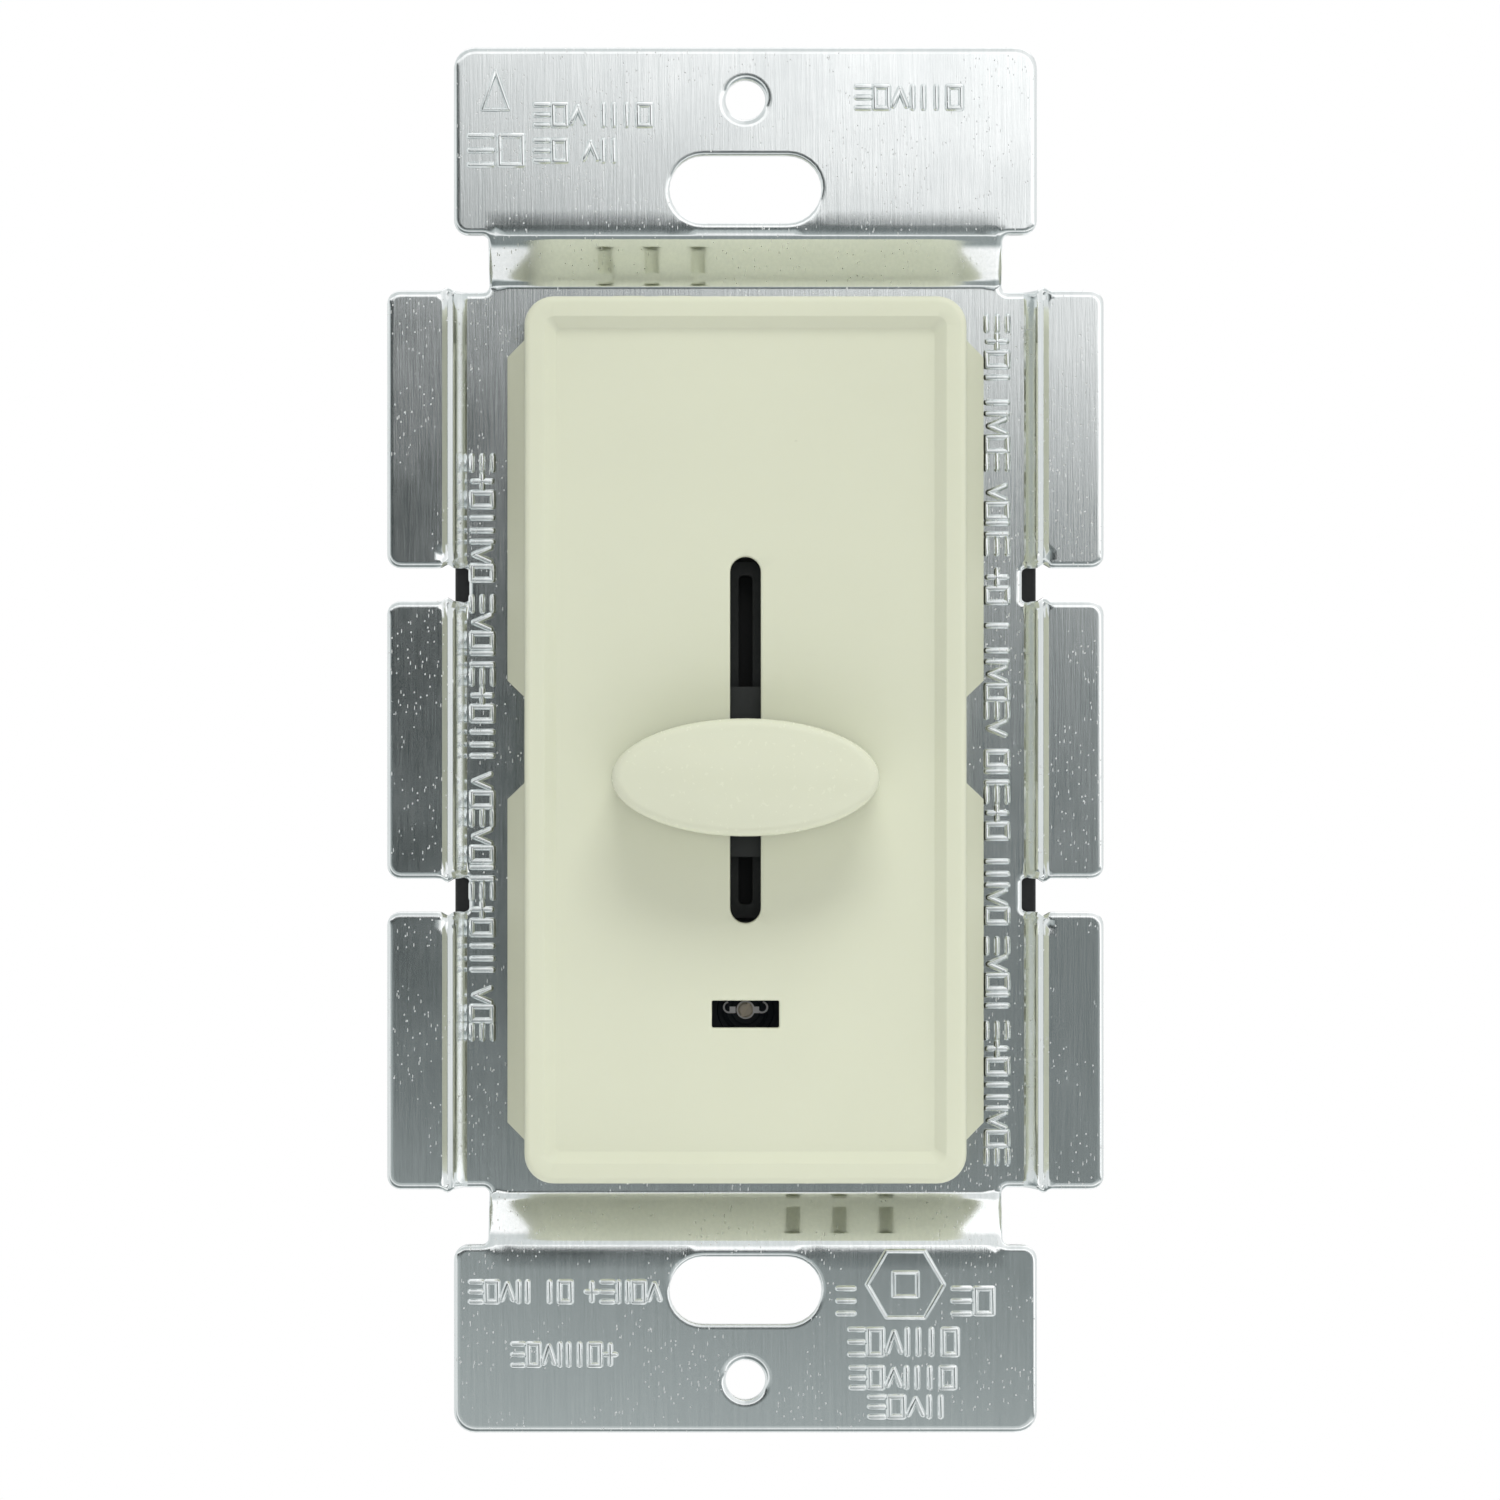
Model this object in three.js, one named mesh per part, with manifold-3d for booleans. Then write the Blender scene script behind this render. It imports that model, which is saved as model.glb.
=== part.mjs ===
// A wall-box slide dimmer: a bent aluminium strap with break-off side fins, an ivory face frame and
// slide knob, a black rear housing, and the phase-cut electronics between them.
// Millimetres. +X is right, +Y goes into the wall and +Z is up; the room is on the -Y side.
// The origin is the middle of the strap on the wall plane, which is the back of its two ears.

import * as THREE from "three";
import { mergeVertices } from "three/addons/utils/BufferGeometryUtils.js";
import Module from "manifold-3d";

const wasm = await Module();
wasm.setup();

// ---------------------------------------------------------------- driving dimensions

const GAP = 0.3; // clearance between neighbouring pieces
const PAST = 1; // how far a cutting tool runs past the face it opens
const SIDES = [-1, 1];

const SHEET = 1.3; // strap metal
const EAR = { halfWidth: 22.05, top: 52.4, bottom: 38.2, corner: 1.6 };
const PLATE = { front: 1.6, back: 1.6 + SHEET, halfWidth: 21, top: 34, leverOpening: 3 };
const WEB = { halfWidth: 19.45, overlap: 1.2 };
const FIN = { outer: 27.1, corner: 1, joggleStart: 21.2, joggleEnd: 22, joggleWall: 1.1 };
const FIN_NOTCH = { z: 11.7, width: 2.7 };
const PLATE_SCREW_HOLE = { z: 48.42, radius: 1.5 };
const BOX_SLOT = { z: 41.66, length: 11.5, width: 5.1 };

const FACE = { halfWidth: 16.65, halfHeight: 33.35, corner: 2.2, front: -7, back: 1.3 };
const PANEL = { front: -6.3, back: -4.8 };
const RIM = { width: 1.6, slope: 0.85 };
const WING = { inner: 16.2, wall: 16.65, outer: 18.05, low: 3.2, high: 30.3, chamfer: 1.3 };
const WING_SLOPE = { front: -1.2, edge: 0.3 };
const VENT = { width: 1.1, pitch: 3.55, first: 3.6, count: 3, front: -3.6, back: -0.4 };
const LATCH_LIP = { left: -10, right: -4, height: 0.3, front: -0.2 };
const HOOK = { z: 23, length: 5, inner: 14, outer: 15.4, barb: 16.4, barbFront: 3.2, tip: 4.6 };

const SLOT = { width: 2.3, length: 27.5 };
const WINDOW = { z: -20.6, width: 5.05, height: 2.05 };

const SLIDER_REST = -2.8; // height of the knob's centre at rest
const TRAVEL = 20;
const KNOB = { halfWidth: 10, halfHeight: 4.4, front: -12.3, back: -7.1, edge: 0.8, wall: 1.3 };
const STEM = { width: 1.9, height: 6.2, front: -11 };
const SHIELD = { halfWidth: 4.2, low: -6, high: 6.8, front: -4.5, back: -3.4 };
const LEVER = { width: 0.8, height: 4, front: -5.2 };
const LEVER_POCKET = { width: 1.1, height: 4.4, front: -5.6 };
const LEVER_REACH = TRAVEL / 2 + 2.4; // half length of the slot that the lever runs in

const GUIDE = { halfWidth: 8.3, low: -25, high: 18.5, front: -3.1, back: 1.4, wall: 1.4, floor: -0.9 };
const GUIDE_GROOVE = { width: 3, length: 27.1, depth: 0.8 };
const GUIDE_WELL = { halfWidth: 3.4, halfHeight: 2.3 };
const GUIDE_POST = { x: 7.2, radius: 0.9, inset: 1.6, front: -4.7 };

const HOUSING = { halfWidth: 22.1, halfHeight: 32.5, corner: 2, front: 3.1, back: 31, wall: 1.5 };
const BOSS = { x: 12.2, z: 28.4, radius: 3, bore: 1.5, back: 14, boreBack: 12 };
const BOARD_RIB = { inner: 18.9, low: 6, high: 9, front: 12.5 };
const LEAD_HOLE = { x: 5, z: -14, radius: 1.7 };
const LABEL = { halfWidth: 15, low: -4, high: 26, depth: 0.3 };
const SCREW = { head: 2.5, headFront: 0, headBack: 1.5, shank: 1.2, tip: 11, recess: 0.8 };
const INSULATOR = { left: -13.3, right: 6, halfHeight: 24.6, front: 3.2, back: 3.45, slot: 1 };

const BOARD = { halfWidth: 19.5, halfHeight: 25, front: 10.6, back: 12.2 };
const PIN = 0.8; // width of a component's square pin
const PIN_BACK = 13.2; // where the pins of the front components end, behind the board
const PIN_FRONT = 10; // where the pins of the back components end, in front of it

const POT = { halfWidth: 4.5, halfHeight: 16.5, front: 4.2, back: 10.2, wall: 0.5 };
const POT_TRACK = { halfWidth: 3.7, halfHeight: 15.7, front: 9.4, back: 10.1 };
const POT_PINS = [[-2, -15], [2, -15], [0, 14.6]];
const POT_TAB = { halfWidth: 1, z: 16.25 };
const POT_CARRIAGE = { halfWidth: 3.2, halfHeight: 3.5, front: 5, back: 7.6 };
const CAM = { tip: -5, halfHeight: 2.6, front: 5.9, back: 7.1 };
const POT_WIPER = { halfWidth: 2.6, halfHeight: 1.4, front: 7.9, thickness: 0.3, tip: 9.1 };

const TRIMMER = { z: WINDOW.z, half: 3, front: 5.9, back: 8.1, well: 2.1, bore: 0.9 };
const TRIMMER_OPENING = { halfWidth: 2.9, halfHeight: 2.2 };
const TRIMMER_PINS = [[-2.4, -1.9], [2.4, -1.9], [0, 2.1]];
const TRIMMER_DISC = { radius: 1.75, front: 5.35, back: 5.65 };
const TRIMMER_POST = { radius: 0.57, front: 4.5, back: 7, slot: 0.22 };
const TRIMMER_BAR = { length: 3.4, width: 0.85, front: 4.9, back: 5.05 };

const TRIAC = { x: 11.5, rivetZ: 16.6, halfWidth: 5, pitch: 2.54 };
const TRIAC_TAB = { low: 4, high: 19.5, front: 3.2, back: 4.5 };
const TRIAC_BODY = { low: 3.5, high: 12.6, front: 4.8, back: 7.9 };
const TRIAC_LEG = { top: 3.2, low: 0.6, thickness: 0.5, front: 6 };
const RIVET = { shank: 1.5, head: 2.7, front: 0.7, frontFace: 1.5, backFace: 4.6, back: 5.4 };

const CHOKE = { x: 8.5, z: -9.8, outer: 7, inner: 4, front: 15, back: 20.5, winding: 0.8, opening: 50 };
const CHOKE_PIN_ANGLE = 34; // degrees to either side of the opening's middle
const FILM_CAPACITOR = { left: -18, right: -3, low: -24.5, high: -17.5, back: 24.8 };
const TIMING_CAPACITOR = { left: -16, right: -8.8, low: 2, high: 6, back: 20 };
const STANDOFF = 0.6; // between the board's back and the components that stand on it
const AXIAL = { x: -12, span: 10, height: 1.9, wire: 0.3 };

const SWITCH = { left: -13, right: -6.6, low: -16.9, high: -4.1, front: 4.2, back: 10.2, wall: 0.8 };
const PLUNGER = { z: -10.5, y: 6.5, radius: 0.8, tip: -5.3, inner: -7.9, bore: 1.1 };
const BLADE = { x: -8.8, thickness: 0.3, front: 5.6, back: 7.4, low: -15.4, high: -5.6 };
const TERMINAL = { x: -10.6, width: 0.6, height: 1.2, front: 8.4, heights: [-15, -10.5, -6] };

// ---------------------------------------------------------------- geometry helpers

function toSolid(geometry) {
  const bare = geometry.clone();
  bare.deleteAttribute("normal");
  bare.deleteAttribute("uv");
  const merged = mergeVertices(bare, 1e-4);
  return new wasm.Manifold(
    new wasm.Mesh({
      numProp: 3,
      vertProperties: merged.attributes.position.array,
      triVerts: new Uint32Array(merged.index.array),
    }),
  );
}

function toGeometry(solid) {
  const mesh = solid.getMesh();
  const geometry = new THREE.BufferGeometry();
  geometry.setAttribute("position", new THREE.BufferAttribute(mesh.vertProperties, 3));
  geometry.setIndex(new THREE.BufferAttribute(mesh.triVerts, 1));
  const faceted = geometry.toNonIndexed();
  faceted.computeVertexNormals();
  return faceted;
}

function join(...geometries) {
  return toGeometry(geometries.map(toSolid).reduce((whole, next) => whole.add(next)));
}

function cut(base, ...tools) {
  return toGeometry(tools.map(toSolid).reduce((left, tool) => left.subtract(tool), toSolid(base)));
}

function overlapOf(first, second) {
  return toGeometry(toSolid(first).intersect(toSolid(second)));
}

// A box between two limits on each axis.
function box([x1, x2], [y1, y2], [z1, z2]) {
  const geometry = new THREE.BoxGeometry(x2 - x1, y2 - y1, z2 - z1);
  return geometry.translate((x1 + x2) / 2, (y1 + y2) / 2, (z1 + z2) / 2);
}

// A box with its middle at x = 0 and z = zMiddle.
function slab(halfWidth, yRange, halfHeight, zMiddle = 0) {
  return box([-halfWidth, halfWidth], yRange, [zMiddle - halfHeight, zMiddle + halfHeight]);
}

// A square pin along Y.
function pin([x, z], yRange, width = PIN, height = width) {
  return box([x - width / 2, x + width / 2], yRange, [z - height / 2, z + height / 2]);
}

// An outline drawn in X and Z, as thick as its two Y limits.
function thickened(shape, [yFront, yBack], curveSegments = 6) {
  const geometry = new THREE.ExtrudeGeometry(shape, {
    depth: yBack - yFront,
    bevelEnabled: false,
    curveSegments,
  });
  return geometry.rotateX(Math.PI / 2).translate(0, yBack, 0);
}

function polygon(points) {
  return new THREE.Shape(points.map(([u, v]) => new THREE.Vector2(u, v)));
}

// A profile drawn in Y and Z, pulled along X.
function pulledAlongX(points, halfWidth) {
  const geometry = new THREE.ExtrudeGeometry(polygon(points), { depth: 2 * halfWidth, bevelEnabled: false });
  const axes = [new THREE.Vector3(0, 1, 0), new THREE.Vector3(0, 0, 1), new THREE.Vector3(1, 0, 0)];
  return geometry.applyMatrix4(new THREE.Matrix4().makeBasis(...axes)).translate(-halfWidth, 0, 0);
}

// A profile drawn in X and Y, pulled along Z.
function pulledAlongZ(points, [zLow, zHigh]) {
  const geometry = new THREE.ExtrudeGeometry(polygon(points), { depth: zHigh - zLow, bevelEnabled: false });
  return geometry.translate(0, 0, zLow);
}

function roundedRectangle(halfWidth, [low, high], radius) {
  const shape = new THREE.Shape();
  shape.absarc(halfWidth - radius, high - radius, radius, 0, Math.PI / 2);
  shape.absarc(radius - halfWidth, high - radius, radius, Math.PI / 2, Math.PI);
  shape.absarc(radius - halfWidth, low + radius, radius, Math.PI, 1.5 * Math.PI);
  shape.absarc(halfWidth - radius, low + radius, radius, 1.5 * Math.PI, 2 * Math.PI);
  return shape;
}

// A slot with round ends, along X or along Z.
function roundEndedSlot(length, width, alongZ) {
  const reach = (length - width) / 2;
  const turn = alongZ ? Math.PI / 2 : 0;
  const shape = new THREE.Shape();
  for (const side of [1, -1]) {
    const start = turn - (side * Math.PI) / 2;
    const centreX = alongZ ? 0 : side * reach;
    const centreZ = alongZ ? side * reach : 0;
    shape.absarc(centreX, centreZ, width / 2, start, start + Math.PI);
  }
  return shape;
}

// A cylinder along Y.
function rod(radius, [yFront, yBack], [x, z] = [0, 0], segments = 20) {
  const geometry = new THREE.CylinderGeometry(radius, radius, yBack - yFront, segments);
  return geometry.translate(x, (yFront + yBack) / 2, z);
}

// A ring of rectangular section about Y.
function ring(inner, outer, [yFront, yBack], segments = 32) {
  const corners = [[inner, yFront], [outer, yFront], [outer, yBack], [inner, yBack], [inner, yFront]];
  return new THREE.LatheGeometry(corners.map(([r, y]) => new THREE.Vector2(r, y)), segments);
}

function eachCorner(x, z) {
  return SIDES.flatMap((sideX) => SIDES.map((sideZ) => [sideX * x, sideZ * z]));
}

// ---------------------------------------------------------------- mounting strap

function ear(side) {
  const limits = side > 0 ? [EAR.bottom, EAR.top] : [-EAR.top, -EAR.bottom];
  const plate = thickened(roundedRectangle(EAR.halfWidth, limits, EAR.corner), [-SHEET, 0]);
  const slot = roundEndedSlot(BOX_SLOT.length, BOX_SLOT.width, false);
  const depth = [-SHEET - PAST, PAST];
  return cut(
    plate,
    thickened(slot, depth, 8).translate(0, 0, side * BOX_SLOT.z),
    rod(PLATE_SCREW_HOLE.radius, depth, [0, side * PLATE_SCREW_HOLE.z]),
  );
}

// The 45 degree bend that joins an ear to the plate behind it.
function web(side) {
  const drop = PLATE.front + SHEET;
  const frontTop = PLATE.top + 0.7 + drop;
  const back = SHEET * Math.SQRT2;
  const points = [
    [-SHEET, frontTop + WEB.overlap],
    [-SHEET, frontTop],
    [PLATE.front, frontTop - drop],
    [PLATE.front, PLATE.top - WEB.overlap],
    [PLATE.back, PLATE.top - WEB.overlap],
    [PLATE.back, frontTop - drop - SHEET + back],
    [0, frontTop - SHEET + back],
    [0, frontTop + WEB.overlap],
  ];
  return pulledAlongX(points.map(([y, z]) => [y, side * z]), WEB.halfWidth);
}

// The recessed plate with a joggle on each side that brings the fins forward to the wall plane.
function finnedPlate() {
  const rise = PLATE.front + SHEET;
  const run = FIN.joggleEnd - FIN.joggleStart;
  const backStart = FIN.joggleStart + FIN.joggleWall - (run * (SHEET - GAP)) / rise;
  const right = [
    [FIN.joggleStart, PLATE.front],
    [FIN.joggleEnd, -SHEET],
    [FIN.outer, -SHEET],
    [FIN.outer, 0],
    [backStart + run, 0],
    [backStart, PLATE.back],
  ];
  const left = right.map(([x, y]) => [-x, y]).reverse();
  return pulledAlongZ([...right, ...left], [-PLATE.top, PLATE.top]);
}

function finRow([low, high]) {
  const outline = roundedRectangle(FIN.outer, [low, high], FIN.corner);
  return thickened(outline, [-SHEET - PAST, PLATE.back + PAST], 3);
}

// Three fins a side, with notches that reach in to the plate's own edge.
function finOutline() {
  const notchTop = FIN_NOTCH.z + FIN_NOTCH.width / 2;
  const notchLow = FIN_NOTCH.z - FIN_NOTCH.width / 2;
  return join(
    finRow([notchTop, PLATE.top]),
    finRow([-notchLow, notchLow]),
    finRow([-PLATE.top, -notchTop]),
    slab(PLATE.halfWidth, [-SHEET - PAST, PLATE.back + PAST], PLATE.top),
  );
}

function plateOpenings() {
  const depth = [PLATE.front - PAST, PLATE.back + PAST];
  const hookMiddle = (HOOK.inner + HOOK.outer) / 2;
  const hookWidth = HOOK.outer - HOOK.inner + 2 * GAP;
  return [
    slab(PLATE.leverOpening, depth, LEVER_REACH + 2),
    slab(TRIMMER_OPENING.halfWidth, depth, TRIMMER_OPENING.halfHeight, TRIMMER.z),
    ...eachCorner(hookMiddle, HOOK.z).map((spot) => pin(spot, depth, hookWidth, HOOK.length + 2 * GAP)),
    ...eachCorner(BOSS.x, BOSS.z).map((spot) => rod(BOSS.bore, depth, spot, 12)),
    rod(RIVET.shank + GAP, depth, [TRIAC.x, TRIAC.rivetZ], 12),
  ];
}

function mountingStrap() {
  const plate = cut(overlapOf(finnedPlate(), finOutline()), ...plateOpenings());
  return join(ear(1), web(1), plate, web(-1), ear(-1));
}

// ---------------------------------------------------------------- face frame

// The recess inside the rim, whose four sides slope down to the panel.
function panelRecess() {
  const halfWidth = FACE.halfWidth - RIM.width - RIM.slope;
  const halfHeight = FACE.halfHeight - RIM.width - RIM.slope;
  const depth = PANEL.front - FACE.front;
  const outline = polygon([[-halfWidth, -halfHeight], [halfWidth, -halfHeight],
    [halfWidth, halfHeight], [-halfWidth, halfHeight]]);
  const geometry = new THREE.ExtrudeGeometry(outline, {
    depth: PAST,
    bevelThickness: depth,
    bevelSize: RIM.slope,
    bevelSegments: 1,
  });
  return geometry.rotateX(Math.PI / 2).translate(0, FACE.front, 0);
}

function wing(sideX, sideZ) {
  const outline = [
    [WING.inner, WING.low],
    [WING.wall, WING.low],
    [WING.outer, WING.low + WING.chamfer],
    [WING.outer, WING.high - WING.chamfer],
    [WING.wall, WING.high],
    [WING.inner, WING.high],
  ];
  const section = [
    [WING.inner, WING_SLOPE.front],
    [WING.wall, WING_SLOPE.front],
    [WING.outer, WING_SLOPE.edge],
    [WING.outer, FACE.back],
    [WING.inner, FACE.back],
  ];
  const zRange = sideZ > 0 ? [WING.low, WING.high] : [-WING.high, -WING.low];
  const plan = polygon(outline.map(([x, z]) => [sideX * x, sideZ * z]));
  return overlapOf(
    thickened(plan, [WING_SLOPE.front - PAST, FACE.back]),
    pulledAlongZ(section.map(([x, y]) => [sideX * x, y]), zRange),
  );
}

function snapHook(sideX, sideZ) {
  const section = [
    [HOOK.inner, PANEL.back],
    [HOOK.outer, PANEL.back],
    [HOOK.outer, HOOK.barbFront],
    [HOOK.barb, HOOK.barbFront],
    [HOOK.outer, HOOK.tip],
    [HOOK.inner, HOOK.tip],
  ];
  const middle = sideZ * HOOK.z;
  const zRange = [middle - HOOK.length / 2, middle + HOOK.length / 2];
  return pulledAlongZ(section.map(([x, y]) => [sideX * x, y]), zRange);
}

function vents() {
  const tools = [];
  for (const side of SIDES) {
    for (let i = 0; i < VENT.count; i += 1) {
      const x = -side * (VENT.first + i * VENT.pitch);
      tools.push(pin([x, side * FACE.halfHeight], [VENT.front, VENT.back], VENT.width, 4 * RIM.width));
    }
  }
  return tools;
}

function faceFrame() {
  const outline = roundedRectangle(FACE.halfWidth, [-FACE.halfHeight, FACE.halfHeight], FACE.corner);
  const lipZ = [FACE.halfHeight - 1, FACE.halfHeight + LATCH_LIP.height];
  const through = [PANEL.front - PAST, PANEL.back + PAST];
  const whole = join(
    thickened(outline, [FACE.front, FACE.back]),
    ...eachCorner(1, 1).map(([sideX, sideZ]) => wing(sideX, sideZ)),
    box([LATCH_LIP.left, LATCH_LIP.right], [LATCH_LIP.front, FACE.back], lipZ),
  );
  const shell = cut(
    whole,
    slab(FACE.halfWidth - RIM.width, [PANEL.back, FACE.back + PAST], FACE.halfHeight - RIM.width),
    panelRecess(),
    thickened(roundEndedSlot(SLOT.length, SLOT.width, true), through),
    slab(WINDOW.width / 2, through, WINDOW.height / 2, WINDOW.z),
    ...vents(),
  );
  return join(shell, ...eachCorner(1, 1).map(([sideX, sideZ]) => snapHook(sideX, sideZ)));
}

// ---------------------------------------------------------------- slider, drawn about its own middle

function ellipse(halfWidth, halfHeight) {
  const shape = new THREE.Shape();
  shape.absellipse(0, 0, halfWidth, halfHeight, 0, 2 * Math.PI);
  return shape;
}

function slideKnob() {
  const thickness = KNOB.back - KNOB.front;
  const body = new THREE.ExtrudeGeometry(ellipse(KNOB.halfWidth - KNOB.edge, KNOB.halfHeight - KNOB.edge), {
    depth: thickness - 2 * KNOB.edge,
    bevelThickness: KNOB.edge,
    bevelSize: KNOB.edge,
    bevelSegments: 2,
    curveSegments: 14,
  });
  body.rotateX(Math.PI / 2).translate(0, KNOB.back - KNOB.edge, 0);
  const hollow = cut(
    thickened(
      ellipse(KNOB.halfWidth - KNOB.wall, KNOB.halfHeight - KNOB.wall),
      [STEM.front - GAP, KNOB.back + PAST],
      10,
    ),
    slab(STEM.width / 2 + KNOB.wall, [KNOB.front, KNOB.back + 2 * PAST], KNOB.halfHeight),
  );
  const socket = slab(
    STEM.width / 2 + GAP,
    [STEM.front - GAP, KNOB.back + PAST],
    STEM.height / 2 + GAP,
  );
  return cut(body, hollow, socket);
}

function sliderCarriage() {
  const pocket = slab(LEVER_POCKET.width / 2, [LEVER_POCKET.front, PAST], LEVER_POCKET.height / 2);
  return cut(
    join(
      box([-SHIELD.halfWidth, SHIELD.halfWidth], [SHIELD.front, SHIELD.back], [SHIELD.low, SHIELD.high]),
      slab(STEM.width / 2, [STEM.front, SHIELD.back], STEM.height / 2),
    ),
    pocket,
  );
}

function potCarriage() {
  return join(
    slab(POT_CARRIAGE.halfWidth, [POT_CARRIAGE.front, POT_CARRIAGE.back], POT_CARRIAGE.halfHeight),
    slab(LEVER.width / 2, [LEVER.front, POT_CARRIAGE.back], LEVER.height / 2),
    box([CAM.tip, 0], [CAM.front, CAM.back], [-CAM.halfHeight, CAM.halfHeight]),
  );
}

// A spring strip with a raised contact at each end of the track it bridges.
function potWiper() {
  const stripBack = POT_WIPER.front + POT_WIPER.thickness;
  return join(
    slab(POT_WIPER.halfWidth, [POT_WIPER.front, stripBack], POT_WIPER.halfHeight),
    ...SIDES.map((side) => rod(0.5, [POT_WIPER.front, POT_WIPER.tip], [side * 1.8, 0], 10)),
  );
}

// ---------------------------------------------------------------- guide, insulator and housing

function sliderGuide() {
  const inside = GUIDE.halfWidth - GUIDE.wall;
  const insideHeights = [GUIDE.low + GUIDE.wall, GUIDE.high - GUIDE.wall];
  const through = [GUIDE.front - PAST, GUIDE.back + PAST];
  const grooveDepth = [GUIDE.front - PAST, GUIDE.front + GUIDE_GROOVE.depth];
  const postHeights = [GUIDE.low + GUIDE_POST.inset, GUIDE.high - GUIDE_POST.inset];
  const postDepth = [GUIDE_POST.front, GUIDE.floor];
  const posts = SIDES.flatMap((side) =>
    postHeights.map((z) => rod(GUIDE_POST.radius, postDepth, [side * GUIDE_POST.x, z], 10)),
  );
  return cut(
    join(
      box([-GUIDE.halfWidth, GUIDE.halfWidth], [GUIDE.front, GUIDE.back], [GUIDE.low, GUIDE.high]),
      ...posts,
    ),
    box([-inside, inside], [GUIDE.floor, GUIDE.back + PAST], insideHeights),
    slab(GUIDE_GROOVE.width / 2, grooveDepth, GUIDE_GROOVE.length / 2),
    slab(LEVER.width / 2 + GAP, through, LEVER_REACH),
    slab(GUIDE_WELL.halfWidth, through, GUIDE_WELL.halfHeight, TRIMMER.z),
  );
}

function insulatingSheet() {
  const { left, right, halfHeight, front, back } = INSULATOR;
  const through = [front - PAST, back + PAST];
  return cut(
    box([left, right], [front, back], [-halfHeight, halfHeight]),
    slab(INSULATOR.slot, through, LEVER_REACH + 1),
    slab(TRIMMER_OPENING.halfWidth, through, TRIMMER_OPENING.halfHeight, TRIMMER.z),
  );
}

function rearHousing() {
  const { halfWidth, halfHeight, corner, front, back, wall } = HOUSING;
  const outline = roundedRectangle(halfWidth, [-halfHeight, halfHeight], corner);
  const shell = cut(
    thickened(outline, [front, back]),
    slab(halfWidth - wall, [front - PAST, back - wall], halfHeight - wall),
  );
  const bosses = eachCorner(BOSS.x, BOSS.z).map((spot) => rod(BOSS.radius, [front, BOSS.back], spot, 16));
  const ribs = eachCorner(1, 1).map(([sideX, sideZ]) => {
    const xRange = [BOARD_RIB.inner, halfWidth - wall / 2].map((x) => sideX * x).sort((a, b) => a - b);
    const zRange = [BOARD_RIB.low, BOARD_RIB.high].map((z) => sideZ * z).sort((a, b) => a - b);
    return box(xRange, [BOARD_RIB.front, back - wall / 2], zRange);
  });
  const boreDepth = [front - PAST, BOSS.boreBack];
  const bores = eachCorner(BOSS.x, BOSS.z).map((spot) => rod(BOSS.bore, boreDepth, spot, 12));
  const leadHoles = SIDES.map((side) =>
    rod(LEAD_HOLE.radius, [back - wall - PAST, back + PAST], [side * LEAD_HOLE.x, LEAD_HOLE.z], 16),
  );
  const label = box(
    [-LABEL.halfWidth, LABEL.halfWidth],
    [back - LABEL.depth, back + PAST],
    [LABEL.low, LABEL.high],
  );
  return cut(join(shell, ...bosses, ...ribs), ...bores, ...leadHoles, label);
}

function housingScrew() {
  const recess = [SCREW.headFront - PAST, SCREW.headFront + SCREW.recess];
  return cut(
    join(
      rod(SCREW.head, [SCREW.headFront, SCREW.headBack], [0, 0], 20),
      rod(SCREW.shank, [SCREW.headFront, SCREW.tip], [0, 0], 12),
    ),
    slab(0.35, recess, 1.4),
    slab(1.4, recess, 0.35),
  );
}

// ---------------------------------------------------------------- board and the parts on its front

function boardPins() {
  const film = capacitorPins(FILM_CAPACITOR);
  const timing = capacitorPins(TIMING_CAPACITOR);
  const axial = AXIAL_HEIGHTS.flatMap((z) => axialPins(z));
  return [
    ...POT_PINS,
    ...TRIMMER_PINS.map(([x, z]) => [x, TRIMMER.z + z]),
    ...triacLegPlaces().map((x) => [x, TRIAC_LEG.low + TRIAC_LEG.thickness / 2]),
    ...chokePins().map(([x, z]) => [CHOKE.x + x, CHOKE.z + z]),
    ...film,
    ...timing,
    ...axial,
  ];
}

function circuitBoard() {
  const through = [BOARD.front - PAST, BOARD.back + PAST];
  const hole = PIN + 2 * GAP;
  const tabHoles = SIDES.map((side) =>
    slab(POT_TAB.halfWidth + GAP, through, POT.wall / 2 + GAP, side * POT_TAB.z),
  );
  const terminalHoles = TERMINAL.heights.map((z) =>
    pin([TERMINAL.x, z], through, TERMINAL.width + 2 * GAP, TERMINAL.height + 2 * GAP),
  );
  return cut(
    slab(BOARD.halfWidth, [BOARD.front, BOARD.back], BOARD.halfHeight),
    ...boardPins().map((spot) => pin(spot, through, hole)),
    ...tabHoles,
    ...terminalHoles,
  );
}

function potShell() {
  const { halfWidth, halfHeight, front, back, wall } = POT;
  const side = [-halfWidth - PAST, -halfWidth + wall + PAST];
  const camReach = CAM.halfHeight + TRAVEL / 2 + 2 * GAP;
  return join(
    cut(
      slab(halfWidth, [front, back], halfHeight),
      slab(halfWidth - wall, [front + wall, back + PAST], halfHeight - wall),
      slab(LEVER.width, [front - PAST, front + wall + PAST], LEVER_REACH + 2 * GAP),
      box(side, [CAM.front - GAP, CAM.back + GAP], [-camReach, camReach]),
    ),
    ...SIDES.map((end) => slab(POT_TAB.halfWidth, [back - PAST, PIN_BACK], wall / 2, end * POT_TAB.z)),
  );
}

function potTrack() {
  const { halfWidth, halfHeight, front, back } = POT_TRACK;
  const pins = POT_PINS.map((spot) => pin(spot, [front, PIN_BACK]));
  return join(slab(halfWidth, [front, back], halfHeight), ...pins);
}

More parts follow.
